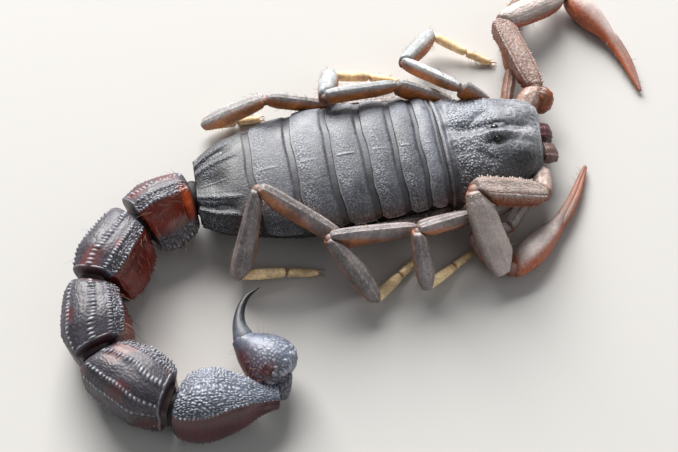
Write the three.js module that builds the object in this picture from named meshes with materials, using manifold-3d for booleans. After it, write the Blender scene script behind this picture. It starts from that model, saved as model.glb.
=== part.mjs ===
// A thick-tailed scorpion at rest, in life size.
// Millimetres, +Z up, head towards +X, the animal's left side towards +Y.
// The belly, the feet, both claws and the tail rest on the plane z = 0. The
// tail lies on its side, curled towards the animal's right.
// Every piece is a closed loft: rings of points along a line, shut at each end
// by one point on that line.

import * as THREE from 'three'
import { mergeVertices } from 'three/addons/utils/BufferGeometryUtils.js'
import Module from 'manifold-3d'

const wasm = await Module()
wasm.setup()

// ---------------------------------------------------------------- dimensions

const GAP = 0.3                 // clearance left between two neighbouring pieces
const FLOOR = 0                 // height that the flats under the animal share

const CARAPACE_LENGTH = 11.8
const CARAPACE_EDGE_HEIGHT = 4.1     // height of the carapace's side margin
const BODY_EDGE_HEIGHT = 4.4         // height at which the trunk is widest
const TERGITE_LENGTHS = [2.1, 3.1, 3.9, 3.8, 4.1, 4.8, 6.6]

const CHELICERA = {
  root: [12.0, 1.45, 4.2],
  lengths: [1.3, 1.3],
  pitches: [-20, -50],
  girth: { across: 1.25, depth: 1.2 },
}
const CHELICERA_ROWS = [[0, 0.8], [0.3, 1], [0.6, 0.9], [1, 0.35]]

const EYE_RADIUS = 0.48
const EYE_PLACE = { x: 6.5, y: 0.74, z: 7.95, drift: -0.45 }   // the head leans to the right
const EYE_SOCKET_GAP = 0.12

const CARAPACE_UNDERSIDE = 3.5
const BREAST = { back: 0.5, front: 11.6, halfWidth: 5.4, bottom: 0.6, top: 3.1 }

// Half width, top and bottom of the trunk at stations along its length.
const TRUNK_HALF_WIDTH = [
  [-28.6, 3.9], [-26, 5.6], [-21, 7.1], [-16, 8.0], [-10, 8.1], [-4, 7.7], [0, 7.4],
]
const TRUNK_TOP = [[-28.6, 6.6], [-24, 7.6], [-16, 8.3], [-8, 8.4], [0, 8.1]]
const TRUNK_BOTTOM = [[-28.6, 1.4], [-26, 0.2], [-23, -0.3], [-6, -0.3], [-2.5, 0.6], [0, 1.0]]
const TRUNK_DRIFT = [[-28.6, -0.7], [-20, -0.3], [-10, 0], [0, 0]]

const CARAPACE_HALF_WIDTH = [[0, 7.4], [3, 7.1], [6.4, 6.4], [9.6, 5.9], [11.1, 5.1], [11.8, 3.9]]
const CARAPACE_TOP = [[0, 8.1], [3.5, 8.0], [6.8, 8.2], [9.5, 7.3], [11.1, 6.4], [11.8, 5.6]]

// Lengths of the trochanter, femur, patella, tibia, basitarsus and tarsus of
// each leg. The two sides of the animal differ a little.
const LEG_LENGTHS = {
  right: {
    1: [2.0, 5.0, 5.6, 5.2, 3.5, 2.8],
    2: [2.2, 6.2, 7.5, 7.6, 4.2, 4.2],
    3: [2.4, 8.4, 10.4, 9.3, 4.4, 3.8],
    4: [2.8, 10.8, 11.7, 11.4, 4.9, 4.9],
  },
  left: {
    1: [2.0, 5.8, 6.6, 6.0, 3.5, 2.8],
    2: [2.2, 6.3, 8.6, 8.8, 4.8, 4.1],
    3: [2.4, 8.8, 8.7, 10.6, 5.0, 4.1],
    4: [2.8, 8.9, 10.6, 10.9, 4.0, 3.6],
  },
}

// Where each pair of legs leaves the breast, given for the left side.
const HIPS = {
  1: [9.4, 4.6, 2.3],
  2: [7.0, 5.2, 2.3],
  3: [3.8, 5.8, 2.3],
  4: [-0.4, 6.4, 2.3],
}

// The pose of each leg: yaw and pitch in degrees of its trochanter, femur,
// patella, tibia, basitarsus and tarsus. Yaw 0 points to +X and yaw 90 to +Y.
const LEG_POSES = {
  right: {
    1: [[-88, 10], [-130, 5], [178, -6], [-64, -15], [53, -7], [49, -11]],
    2: [[-95, 14], [-158, 26], [-161, 20], [-81, -60], [34, -11], [32, -8]],
    3: [[-110, 14], [-165, 19], [-176, 13], [-50, -42], [42, -12], [40, -9]],
    4: [[-143, 14], [-171, 11], [153, 33], [-122.5, -57], [0, -8.4], [-5, -6.6]],
  },
  left: {
    1: [[75, 4], [69, -3], [84, -1], [56, -8], [29, -7], [21, -9]],
    2: [[75, 14], [-168, 54], [132, -13], [51, -24], [-33, -14], [-27, -13]],
    3: [[105, 14], [-178, 39], [-175, 6], [76, -40], [-2, -13], [-10, -10]],
    4: [[110, 6], [179, 6], [-173, 32], [159, -43], [6, -14], [4, -10]],
  },
}
const SOLE_HEIGHT = 0.15             // height of the tip of each foot's middle line

// Half thickness across and half depth of the leg joints, and how much of that
// each pair has.
const LEG_GIRTH = { 1: 0.84, 2: 0.9, 3: 0.98, 4: 1 }
const TROCHANTER_GIRTH = { across: 1.0, depth: 1.1 }
const FEMUR_GIRTH = { across: 0.8, depth: 1.25 }
const PATELLA_GIRTH = { across: 0.85, depth: 1.35 }
const TIBIA_GIRTH = { across: 1.0, depth: 1.35 }
const FOOT_GIRTH = { across: 0.55, depth: 0.6 }

// The pedipalps: trochanter, femur, patella and chela.
const CLAW_ROOT = [11.4, 4.5, 3.4]
const CLAW_LENGTHS = { right: [3.5, 9.8, 10.7, 18.2], left: [3.6, 10.4, 12.0, 16.7] }
const CLAW_POSES = {
  right: [[-103, 25], [-175, 28], [-64, -45], [46, -4]],
  left: [[50, 16], [102, 5], [28, -16], [-69, -5]],
}
const CLAW_TROCHANTER_GIRTH = { across: 1.6, depth: 1.6 }
const CLAW_FEMUR_GIRTH = { across: 1.25, depth: 1.45 }
const CLAW_PATELLA_GIRTH = { across: 1.5, depth: 1.65 }
const HAND_GIRTH = { across: 1.75, depth: 1.65 }
const FINGER_GIRTH = { across: 0.46, depth: 0.62 }
const HAND_SHARE = 0.42              // the palm's share of the chela's length
const FINGER_SPREAD = 0.74           // how far each finger lies off the middle line
const CHELA_BOW = 1.4                // how far the chela curves off a straight line

// The tail: yaw of each segment, and its half width, which stands upright
// because the tail lies on its side, and its half depth.
const TAIL_ROOT = [-28.9, -0.8, 4.3]
const TAIL = [
  { length: 7.4, yaw: -159, pitch: -1, halfWidth: 4.1, halfDepth: 3.4 },
  { length: 8.9, yaw: -126, pitch: 0, halfWidth: 4.4, halfDepth: 3.7 },
  { length: 8.8, yaw: -92, pitch: 0, halfWidth: 4.5, halfDepth: 3.8 },
  { length: 9.8, yaw: -43, pitch: -1, halfWidth: 4.4, halfDepth: 3.7 },
  { length: 12.1, yaw: -3, pitch: -4, halfWidth: 4.0, halfDepth: 3.4 },
]
const VESICLE = {
  length: 6.3, yaw: 132, pitch: 6, halfWidth: 2.6, halfDepth: 2.8,
  neck: { inward: 2.35, forward: 0.3, rise: 0.8 },
}
const STING_TURNS = [[1.7, 101], [1.7, 82], [1.9, 62], [2.2, 33]]
const STING_RADIUS = 0.95

// ------------------------------------------------------------------ materials

function finish(color, roughness) {
  return new THREE.MeshStandardMaterial({ color, roughness, metalness: 0 })
}

const SHELL = finish(0x474a54, 0.55)
const TAIL_SHELL = finish(0x35303a, 0.45)
const LEG_SHELL = finish(0x77706f, 0.5)
const FOOT_SHELL = finish(0xc9a35c, 0.55)
const CLAW_SHELL = finish(0x8d7f7f, 0.5)
const CHELICERA_SHELL = finish(0x5b2f2a, 0.45)
const EYE_LENS = finish(0x090909, 0.08)
const STING_SHELL = finish(0x1d1716, 0.25)

// -------------------------------------------------------------- basic shaping

const point = (x, y, z) => new THREE.Vector3(x, y, z)

// The unit vector that a yaw and a pitch in degrees point along.
function aim(yaw, pitch = 0) {
  const turn = THREE.MathUtils.degToRad(yaw)
  const lift = THREE.MathUtils.degToRad(pitch)
  return point(Math.cos(lift) * Math.cos(turn), Math.cos(lift) * Math.sin(turn), Math.sin(lift))
}

// A smooth value at x from rows of [x, value], by cubic pieces whose slopes
// are those between the neighbouring rows.
function along(rows, x) {
  const last = rows.length - 1
  const slope = (k) => {
    const a = rows[Math.max(k - 1, 0)]
    const b = rows[Math.min(k + 1, last)]
    return (b[1] - a[1]) / (b[0] - a[0])
  }
  const k = Math.min(Math.max(rows.findIndex((row) => row[0] > x) - 1, 0), last - 1)
  const start = x >= rows[last][0] ? last - 1 : k
  const [x0, v0] = rows[start]
  const [x1, v1] = rows[start + 1]
  const span = x1 - x0
  const t = THREE.MathUtils.clamp((x - x0) / span, 0, 1)
  const bend0 = slope(start) * span
  const bend1 = slope(start + 1) * span
  return (
    v0 * (1 + 2 * t) * (1 - t) ** 2 + bend0 * t * (1 - t) ** 2 +
    v1 * t * t * (3 - 2 * t) - bend1 * t * t * (1 - t)
  )
}

// Offsets around a rounded section: half width across, then rise and drop.
function section(count, across, rise, drop, roundness = 1) {
  const offsets = []
  for (let k = 0; k < count; k += 1) {
    const angle = (2 * Math.PI * (k + 0.5)) / count
    const c = Math.cos(angle)
    const s = Math.sin(angle)
    const side = Math.sign(c) * Math.abs(c) ** roundness
    const lift = Math.sign(s) * Math.abs(s) ** roundness
    offsets.push([across * side, (s > 0 ? rise : drop) * lift])
  }
  return offsets
}

// A closed surface through the rings, with one point at each end, no lower
// than the floor.
function loft(rings, startPoint, endPoint) {
  const count = rings[0].length
  const vertices = rings.flat().concat([startPoint, endPoint])
  const positions = vertices.flatMap((v) => [v.x, v.y, Math.max(v.z, FLOOR)])
  const faces = []
  for (let r = 0; r + 1 < rings.length; r += 1) {
    for (let k = 0; k < count; k += 1) {
      const next = (k + 1) % count
      const a = r * count + k
      const b = r * count + next
      const c = a + count
      const d = b + count
      faces.push(a, b, d, a, d, c)
    }
  }
  const start = rings.length * count
  const tail = (rings.length - 1) * count
  for (let k = 0; k < count; k += 1) {
    const next = (k + 1) % count
    faces.push(start, next, k, start + 1, tail + k, tail + next)
  }
  if (enclosedVolume(positions, faces) < 0) {
    for (let f = 0; f < faces.length; f += 3) {
      [faces[f + 1], faces[f + 2]] = [faces[f + 2], faces[f + 1]]
    }
  }
  const geometry = new THREE.BufferGeometry()
  geometry.setAttribute('position', new THREE.Float32BufferAttribute(positions, 3))
  geometry.setIndex(faces)
  return geometry
}

function enclosedVolume(positions, faces) {
  const corner = (i) => point(...positions.slice(3 * i, 3 * i + 3))
  let volume = 0
  for (let f = 0; f < faces.length; f += 3) {
    const cross = corner(faces[f + 1]).cross(corner(faces[f + 2]))
    volume += corner(faces[f]).dot(cross) / 6
  }
  return volume
}

// ------------------------------------------------------- cutting and joining

function solidOf(geometry) {
  const merged = mergeVertices(geometry, 1e-4)
  return new wasm.Manifold(new wasm.Mesh({
    numProp: 3,
    vertProperties: new Float32Array(merged.getAttribute('position').array),
    triVerts: new Uint32Array(merged.getIndex().array),
  }))
}

function geometryOf(solid) {
  const mesh = solid.getMesh()
  const geometry = new THREE.BufferGeometry()
  geometry.setAttribute('position', new THREE.BufferAttribute(mesh.vertProperties, 3))
  geometry.setIndex(new THREE.BufferAttribute(mesh.triVerts, 1))
  return geometry
}

function joined(geometries) {
  return geometryOf(geometries.map(solidOf).reduce((whole, piece) => whole.add(piece)))
}

function cutBy(geometry, cutters) {
  const cut = cutters.map(solidOf).reduce((rest, cutter) => rest.subtract(cutter), solidOf(geometry))
  return geometryOf(cut)
}

// ------------------------------------------------------------- jointed limbs

// The joint points of a limb, from its root, its lengths and its poses.
function chain(root, lengths, poses) {
  const points = [point(...root)]
  lengths.forEach((length, k) => {
    points.push(points[k].clone().addScaledVector(aim(...poses[k]), length))
  })
  return points
}

const directionOf = (from, to) => to.clone().sub(from).normalize()

const UPRIGHT = point(0, 0, 1)
const KNEE_REACH = 0.35         // how far a mitred corner may stand out, in girths
const LONGEST_MITRE = 0.4       // share of a piece's length that a mitre may take

// One piece of a limb through the points of a line. rows hold [share along,
// share of the girth]; before and after are the directions of its neighbours,
// against which its ends are mitred; swell makes it that much thicker.
function limbPiece(line, girth, rows, options = {}) {
  const { before, after, count = 10, up = UPRIGHT, swell = 0, roundness = 0.9 } = options
  const lengths = line.slice(1).map((p, k) => p.distanceTo(line[k]))
  const total = lengths.reduce((sum, length) => sum + length)
  const inset = GAP / 2 - swell
  const mitre = (offset, axis, neighbour) => {
    if (!neighbour) return 0
    const plane = neighbour.clone().add(axis).normalize()
    return -offset.dot(plane) / Math.max(axis.dot(plane), 0.3)
  }
  const rings = rows.map(([share, size]) => {
    const axis = axisAt(line, lengths, share * total)
    const upward = up.clone().addScaledVector(axis, -up.dot(axis)).normalize()
    const side = upward.clone().cross(axis)
    const centre = pointAt(line, lengths, inset + share * (total - 2 * inset))
    const across = girth.across * size + swell
    const depth = girth.depth * size + swell
    return section(count, across, depth, depth, roundness).map(([wide, high]) => {
      const offset = side.clone().multiplyScalar(wide).addScaledVector(upward, high)
      const reach = KNEE_REACH * offset.length()
      const longest = LONGEST_MITRE * total
      const startShift = THREE.MathUtils.clamp(mitre(offset, axis, before), -reach, longest)
      const endShift = THREE.MathUtils.clamp(mitre(offset, axis, after), -longest, reach)
      const shift = startShift * (1 - share) ** 3 + endShift * share ** 3
      return centre.clone().add(offset).addScaledVector(axis, shift)
    })
  })
  return loft(rings, pointAt(line, lengths, inset), pointAt(line, lengths, total - inset))
}

// The point at a distance along a line of points, and past its ends.
function pointAt(line, lengths, distance) {
  let k = 0
  let left = distance
  while (k < lengths.length - 1 && left > lengths[k]) {
    left -= lengths[k]
    k += 1
  }
  return line[k].clone().addScaledVector(directionOf(line[k], line[k + 1]), left)
}

// The direction of a line of points at a distance, halfway round at a bend.
function axisAt(line, lengths, distance) {
  const reach = 0.35
  const back = pointAt(line, lengths, distance - reach)
  return directionOf(back, pointAt(line, lengths, distance + reach))
}

// A line of points with its middle pushed off the straight by a bow.
function bowed(from, to, bow, sideways, steps = 6) {
  const line = []
  for (let k = 0; k <= steps; k += 1) {
    const share = k / steps
    line.push(from.clone().lerp(to, share).addScaledVector(sideways, bow * Math.sin(Math.PI * share)))
  }
  return line
}

const TROCHANTER_ROWS = [[0, 0.9], [0.35, 1], [0.62, 1.02], [0.8, 1], [1, 0.8]]
const FEMUR_ROWS = [[0, 0.7], [0.2, 0.92], [0.55, 1], [0.85, 0.95], [1, 0.75]]
const PATELLA_ROWS = [[0, 0.62], [0.2, 0.92], [0.55, 1], [0.85, 0.95], [1, 0.72]]
const TIBIA_ROWS = [[0, 0.62], [0.22, 0.85], [0.6, 1], [0.86, 0.85], [1, 0.62]]
const FOOT_ROWS = [[0, 0.9], [0.25, 1.08], [0.5, 0.95], [0.6, 0.85], [0.85, 0.8], [1, 0.5]]
const HAND_ROWS = [
  [0, 0.5], [0.07, 0.86], [0.18, 1], [0.3, 0.9], [0.4, 0.62],
  [0.48, 0.34], [0.62, 0.3], [0.82, 0.24], [1, 0.15],
]
const FINGER_ROWS = [[0, 0.7], [0.12, 1], [0.35, 0.95], [0.7, 0.7], [1, 0.35]]
const TAIL_ROWS = [[0, 0.52], [0.1, 0.72], [0.32, 0.94], [0.65, 1], [0.9, 0.92], [1, 0.76]]
const LAST_TAIL_ROWS = [
  [0, 0.6], [0.12, 0.86], [0.35, 1], [0.6, 0.8], [0.78, 0.48], [0.9, 0.31], [1, 0.28],
]
const VESICLE_ROWS = [[0, 0.42], [0.12, 0.76], [0.32, 1], [0.55, 0.95], [0.8, 0.66], [1, 0.36]]
const STING_ROWS = [[0, 1], [0.25, 0.7], [0.5, 0.52], [0.75, 0.4], [1, 0.3]]

// ------------------------------------------------------------------ the trunk

// One ring of the trunk: an arched back over a belly that narrows downwards.
function trunkRing(x, halfWidth, top, bottom, edge, drift) {
  const count = 24
  const back = section(count, halfWidth, top - edge, 1, 0.85)
  const belly = section(count, halfWidth, 1, edge - bottom, 1.25)
  return back.map(([wide, lift], k) => {
    const [narrow, drop] = belly[k]
    return lift > 0 ? point(x, drift + wide, edge + lift) : point(x, drift + narrow, edge + drop)
  })
}

// A slice of the trunk between two stations, that many rings long.
function trunkSlice(from, to, steps, ringAt) {
  const rings = []
  for (let k = 0; k <= steps; k += 1) {
    rings.push(ringAt(from + ((to - from) * k) / steps))
  }
  const middle = (x) => {
    const ring = ringAt(x)
    const sum = ring.reduce((total, p) => total.add(p), point(0, 0, 0))
    return sum.divideScalar(ring.length)
  }
  return loft(rings, middle(from), middle(to))
}

const mesosomaRing = (x) => trunkRing(
  x, along(TRUNK_HALF_WIDTH, x), along(TRUNK_TOP, x), along(TRUNK_BOTTOM, x),
  BODY_EDGE_HEIGHT, along(TRUNK_DRIFT, x),
)

const carapaceRing = (x) => trunkRing(
  x, along(CARAPACE_HALF_WIDTH, x), along(CARAPACE_TOP, x), CARAPACE_UNDERSIDE,
  CARAPACE_EDGE_HEIGHT, 0,
)

// ----------------------------------------------------------------- assembling

const model = new THREE.Group()

function add(name, geometry, material) {
  const mesh = new THREE.Mesh(geometry, material)
  mesh.name = name
  model.add(mesh)
}

// A place of the left side, or the same place mirrored to the right.
const onSide = (side, [x, y, z]) => [x, side === 'left' ? y : -y, z]

const directionsOf = (joints) => joints.slice(1).map((p, k) => directionOf(joints[k], p))

// The coxae, with their trochanters, grow from the breast in one piece. Copies
// of them and of the femora, thicker by the gap, are cut out of the trunk.
const breastPieces = []
const clearances = []

function growRoot(line, girth, after) {
  breastPieces.push(limbPiece(line, girth, TROCHANTER_ROWS, { after }))
  clearances.push(limbPiece(line, girth, TROCHANTER_ROWS, { after, swell: GAP }))
}

function addLeg(side, pair) {
  const joints = chain(onSide(side, HIPS[pair]), LEG_LENGTHS[side][pair], LEG_POSES[side][pair])
  joints[6].z = SOLE_HEIGHT
  const steps = directionsOf(joints)
  const thick = ({ across, depth }) => ({
    across: across * LEG_GIRTH[pair],
    depth: depth * LEG_GIRTH[pair],
  })
  const piece = (k, girth, rows, swell = 0) => limbPiece(
    [joints[k], joints[k + 1]], thick(girth), rows,
    { before: steps[k - 1], after: steps[k + 1], swell },
  )
  const root = point(joints[0].x * 0.8 + 1, joints[0].y * 0.35, joints[0].z)
  growRoot([root, joints[0], joints[1]], thick(TROCHANTER_GIRTH), steps[1])
  clearances.push(piece(1, FEMUR_GIRTH, FEMUR_ROWS, GAP))
  const name = `leg_${side}_${pair}`
  add(`${name}_femur`, piece(1, FEMUR_GIRTH, FEMUR_ROWS), LEG_SHELL)
  add(`${name}_patella`, piece(2, PATELLA_GIRTH, PATELLA_ROWS), LEG_SHELL)
  add(`${name}_tibia`, piece(3, TIBIA_GIRTH, TIBIA_ROWS), LEG_SHELL)
  const foot = limbPiece(joints.slice(4), thick(FOOT_GIRTH), FOOT_ROWS, { before: steps[3] })
  add(`${name}_foot`, foot, FOOT_SHELL)
}

function addClaw(side) {
  const joints = chain(onSide(side, CLAW_ROOT), CLAW_LENGTHS[side], CLAW_POSES[side])
  const steps = directionsOf(joints)
  const root = point(joints[0].x - 2, joints[0].y * 0.6, joints[0].z - 0.6)
  growRoot([root, joints[0], joints[1]], CLAW_TROCHANTER_GIRTH, steps[1])
  const piece = (k, girth, rows) => limbPiece(
    [joints[k], joints[k + 1]], girth, rows,
    { before: steps[k - 1], after: steps[k + 1], count: 12 },
  )
  const name = `pedipalp_${side}`
  add(`${name}_femur`, piece(1, CLAW_FEMUR_GIRTH, FEMUR_ROWS), CLAW_SHELL)
  add(`${name}_patella`, piece(2, CLAW_PATELLA_GIRTH, PATELLA_ROWS), CLAW_SHELL)

  // The chela bows away from the head, and its loose finger lies outside.
  const outward = point(steps[3].y, -steps[3].x, 0).normalize()
  if (side === 'left') outward.negate()
  const whole = bowed(joints[3], joints[4], CHELA_BOW, outward, 12)
  const hand = whole.map((p, k) => {
    const share = THREE.MathUtils.smoothstep(k / 12, HAND_SHARE - 0.1, HAND_SHARE + 0.06)
    return p.clone().addScaledVector(outward, -share * FINGER_SPREAD)
  })
  const fingerStart = Math.round(12 * HAND_SHARE)
  const finger = whole.slice(fingerStart).map((p) => p.clone().addScaledVector(outward, FINGER_SPREAD))
  add(`${name}_hand`, limbPiece(hand, HAND_GIRTH, HAND_ROWS, { before: steps[2], count: 12 }), CLAW_SHELL)
  add(`${name}_finger`, limbPiece(finger, FINGER_GIRTH, FINGER_ROWS), CLAW_SHELL)
}

function addTail() {
  const poses = TAIL.map(({ yaw, pitch }) => [yaw, pitch])
  const joints = chain(TAIL_ROOT, TAIL.map(({ length }) => length), poses)
  const steps = directionsOf(joints)
  TAIL.forEach(({ halfWidth, halfDepth }, k) => {
    const last = k === TAIL.length - 1
    const girth = { across: halfDepth, depth: halfWidth }
    const piece = limbPiece([joints[k], joints[k + 1]], girth, last ? LAST_TAIL_ROWS : TAIL_ROWS,
      { before: steps[k - 1] ?? point(-1, 0, 0), after: steps[k + 1], count: 16, roundness: 0.85 })
    add(`metasoma_${k + 1}`, piece, TAIL_SHELL)
  })
  const inward = point(-steps[4].y, steps[4].x, 0)
  const neck = joints[5].clone().addScaledVector(inward, VESICLE.neck.inward)
    .addScaledVector(steps[4], VESICLE.neck.forward)
  neck.z += VESICLE.neck.rise
  const bulbAxis = aim(VESICLE.yaw, VESICLE.pitch)
  const bulbEnd = neck.clone().addScaledVector(bulbAxis, VESICLE.length)
  const girth = { across: VESICLE.halfDepth, depth: VESICLE.halfWidth }
  const stingJoints = chain(bulbEnd.toArray(), STING_TURNS.map(([length]) => length),
    STING_TURNS.map(([, yaw]) => [yaw, 0]))
  const after = directionOf(stingJoints[0], stingJoints[1])
  add('vesicle', limbPiece([neck, bulbEnd], girth, VESICLE_ROWS, { after, count: 16 }), TAIL_SHELL)
  const slim = { across: STING_RADIUS, depth: STING_RADIUS }
  add('sting', limbPiece(stingJoints, slim, STING_ROWS, { before: bulbAxis, count: 8 }), STING_SHELL)
}

function addHead() {
  const shell = trunkSlice(GAP / 2, CARAPACE_LENGTH, 8, carapaceRing)
  const eyePlace = (side) => {
    const [x, y, z] = onSide(side, [EYE_PLACE.x, EYE_PLACE.y, EYE_PLACE.z])
    return [x, y + EYE_PLACE.drift, z]
  }
  const ball = (radius, place) => {
    const geometry = new THREE.IcosahedronGeometry(radius, 1)
    geometry.deleteAttribute('normal')
    geometry.deleteAttribute('uv')
    return mergeVertices(geometry, 1e-4).translate(...place)
  }
  const sockets = ['left', 'right'].map((side) => ball(EYE_RADIUS + EYE_SOCKET_GAP, eyePlace(side)))
  add('carapace', cutBy(shell, sockets.concat(clearances)), SHELL)
  for (const side of ['left', 'right']) {
    add(`eye_${side}`, ball(EYE_RADIUS, eyePlace(side)), EYE_LENS)
    const [x, y, z] = onSide(side, CHELICERA.root)
    const line = chain([x, y, z], CHELICERA.lengths, CHELICERA.pitches.map((pitch) => [0, pitch]))
    add(`chelicera_${side}`, limbPiece(line, CHELICERA.girth, CHELICERA_ROWS), CHELICERA_SHELL)
  }
}

function addBreast() {
  const { back, front, halfWidth, bottom, top } = BREAST
  const ring = (x) => section(24, halfWidth, (top - bottom) / 2, (top - bottom) / 2, 0.6)
    .map(([wide, lift]) => point(x, wide, (top + bottom) / 2 + lift))
  const plate = trunkSlice(back, front, 3, ring)
  add('breast', joined([plate, ...breastPieces]), SHELL)
}

function addMesosoma() {
  let front = 0
  TERGITE_LENGTHS.forEach((length, k) => {
    const slice = trunkSlice(front - GAP / 2, front - length + GAP / 2, 2, mesosomaRing)
    const underLegs = front > -12
    add(`mesosoma_${k + 1}`, underLegs ? cutBy(slice, clearances) : slice, SHELL)
    front -= length
  })
}

for (const side of ['right', 'left']) {
  for (const pair of [1, 2, 3, 4]) addLeg(side, pair)
  addClaw(side)
}
addBreast()
addHead()
addMesosoma()
addTail()

// The model stands with the middle of its footprint over the origin.
const bounds = new THREE.Box3().setFromObject(model)
const middle = bounds.getCenter(new THREE.Vector3())
model.position.set(-middle.x, -middle.y, FLOOR - bounds.min.z)

export default model
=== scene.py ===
"""A life-size thick-tailed scorpion at rest, built over its solid frame.

Shapes are worked out in millimetres in the animal's own axes: x runs from the
carapace's rear margin towards the head, y to the animal's left and z up from
the floor.
"""

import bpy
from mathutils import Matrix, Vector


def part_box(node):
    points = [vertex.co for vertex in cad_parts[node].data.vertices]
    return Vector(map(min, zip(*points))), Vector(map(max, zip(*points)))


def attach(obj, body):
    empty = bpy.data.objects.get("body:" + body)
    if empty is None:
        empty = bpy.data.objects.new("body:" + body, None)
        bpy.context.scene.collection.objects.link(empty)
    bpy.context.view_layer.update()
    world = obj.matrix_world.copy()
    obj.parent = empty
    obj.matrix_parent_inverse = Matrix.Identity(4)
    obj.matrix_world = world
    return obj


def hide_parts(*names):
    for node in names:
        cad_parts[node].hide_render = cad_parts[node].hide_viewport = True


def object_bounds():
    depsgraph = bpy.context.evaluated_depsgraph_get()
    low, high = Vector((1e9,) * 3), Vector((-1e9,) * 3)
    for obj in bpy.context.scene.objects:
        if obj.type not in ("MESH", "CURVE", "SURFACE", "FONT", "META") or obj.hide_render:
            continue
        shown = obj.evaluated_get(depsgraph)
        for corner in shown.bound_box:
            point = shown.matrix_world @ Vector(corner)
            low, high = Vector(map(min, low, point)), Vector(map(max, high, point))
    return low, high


bl_info = {
    "name": "Thick-tailed Scorpion",
    "version": (1, 0, 0),
    "blender": (4, 5, 0),
    "location": "View3D > Sidebar > Scorpion",
    "description": "Builds the shell plates, limbs, tail and bristles of a scorpion",
    "category": "Add Mesh",
}

import math

import bpy
import numpy as np
from mathutils import Vector

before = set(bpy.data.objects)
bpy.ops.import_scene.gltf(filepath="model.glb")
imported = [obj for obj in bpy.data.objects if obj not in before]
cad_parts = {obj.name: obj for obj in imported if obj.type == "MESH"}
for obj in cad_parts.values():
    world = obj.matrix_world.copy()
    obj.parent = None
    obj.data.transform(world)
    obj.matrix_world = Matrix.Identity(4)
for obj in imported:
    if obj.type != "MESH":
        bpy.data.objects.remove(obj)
CAD_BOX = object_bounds()

MM = 0.001
UP = np.array([0.0, 0.0, 1.0])
SKINS = {}                           # each limb piece's grid, for the bristles to root in
SIDES = ("left", "right")
PAIRS = (1, 2, 3, 4)
DENSITY = 1.0

# ------------------------------------------------------------ named sizes, mm

GAP = 0.3
CARAPACE_LENGTH = 11.8
CARAPACE_FRONT = 12.3                # where the rolled front margin ends
MIDLINE_SHIFT = 0.45                 # how far the eyes lie to the right of the middle
LEAN_SHIFT = -2.5                    # degrees that the back's middle leans to the right
HEAD_TURN = 0.15                     # how far the front margin leans forward on the left, per mm of y
CARAPACE_EDGE = 4.1
TRUNK_EDGE = 4.4
TERGITE_LENGTHS = (2.1, 2.9, 3.5, 3.95, 4.35, 4.8, 6.8)
TERGITE_BOWS = (0, 0.1, 0.35, 0.6, 0.85, 0.65, 0.5, 0.2)     # how far each margin runs forward at its sides
TRUNK_HALF_WIDTH = ((-28.6, 3.9), (-26, 5.6), (-21, 7.1), (-16, 8.0), (-10, 8.1), (-4, 7.7), (0, 7.4))
TRUNK_TOP = ((-28.6, 6.6), (-24, 7.6), (-16, 8.3), (-8, 8.4), (0, 8.1))
TRUNK_BOTTOM = ((-28.6, 1.4), (-26, 0.2), (-23, -0.3), (-6, -0.3), (-2.5, 0.6), (0, 1.0))
TRUNK_DRIFT = ((-28.6, -0.7), (-20, -0.3), (-10, 0), (0, 0))
CARAPACE_HALF_WIDTH = ((0, 7.4), (3, 7.1), (6.4, 6.4), (9.6, 5.9), (11.1, 5.1), (11.8, 3.9))
CARAPACE_TOP = ((0, 8.1), (3.5, 8.0), (6.8, 8.2), (9.5, 7.3), (11.1, 6.4), (11.8, 5.6))
HIPS = {1: (9.4, 4.6, 2.3), 2: (7.0, 5.2, 2.3), 3: (3.8, 5.8, 2.3), 4: (-0.4, 6.4, 2.3)}
CLAW_ROOT = (11.4, 4.5, 3.4)

LEG_GIRTH = {1: 0.84, 2: 0.9, 3: 0.98, 4: 1.0}
LEG_SLIMNESS = {
    "leg_left_2": 0.82, "leg_left_3": 0.82, "leg_left_4": 0.72,
    "leg_right_1": 0.85, "leg_right_2": 0.85, "leg_right_3": 0.88,
}
NONE_OF_THREE = (0.0, 0.0, 0.0)
# How far orange spreads over the sides of femur, patella and tibia of each right leg
RIGHT_LEG_WARMTH = {1: (0.3, 0.7, 0.6), 2: (0.3, 0.7, 0.6), 3: (0.3, 0.7, 0.05), 4: (0.3, 1.6, 0.05)}
# How pale the tops of femur, patella and tibia of each left leg are: a painted sheen, as these tops face the
# lamp
LEFT_LEG_SHEEN = {1: (0.0, 0.2, 0.3), 2: (0.3, 0.8, 0.9), 3: (0.3, 0.8, 0.9), 4: (0.0, 0.2, 0.3)}
TUCKED_KNEE = np.array([1.3, 0.0, 0.0])            # moves of the first right leg, behind the pedipalp
TUCKED_ANKLE = np.array([1.0, 1.2, 0.0])
BOWED_ARM = np.array([-0.9, 0.16, 0])              # bow of the right pedipalp's patella
VIEW_CENTRE = np.array([-12.674, -4.949, 0.0])     # where the camera looks
FLOOR_HALF = 1.5                                   # half the floor's side, in metres
TROCHANTER_ROWS = ((0, 0.9), (0.35, 1), (0.62, 1.02), (0.8, 1), (1, 0.8))
FEMUR_ROWS = ((0, 0.7), (0.2, 0.92), (0.55, 1), (0.85, 0.97), (1, 0.8))
PATELLA_ROWS = ((0, 0.66), (0.2, 0.92), (0.55, 1), (0.85, 0.97), (1, 0.76))
TIBIA_ROWS = ((0, 0.66), (0.22, 0.87), (0.6, 1), (0.86, 0.85), (1, 0.62))
LOW_TIBIA_ROWS = ((0, 0.6), (0.25, 0.76), (0.55, 0.92), (0.85, 1.04), (1, 0.86))
CLAW_PATELLA_ROWS = ((0, 0.62), (0.2, 0.9), (0.5, 1), (0.85, 0.98), (1, 0.76))
HAND_ROWS = (
    (0, 0.55), (0.06, 0.82), (0.16, 0.97), (0.28, 0.9), (0.4, 0.66), (0.5, 0.47),
    (0.62, 0.36), (0.8, 0.25), (1, 0.12),
)
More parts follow.
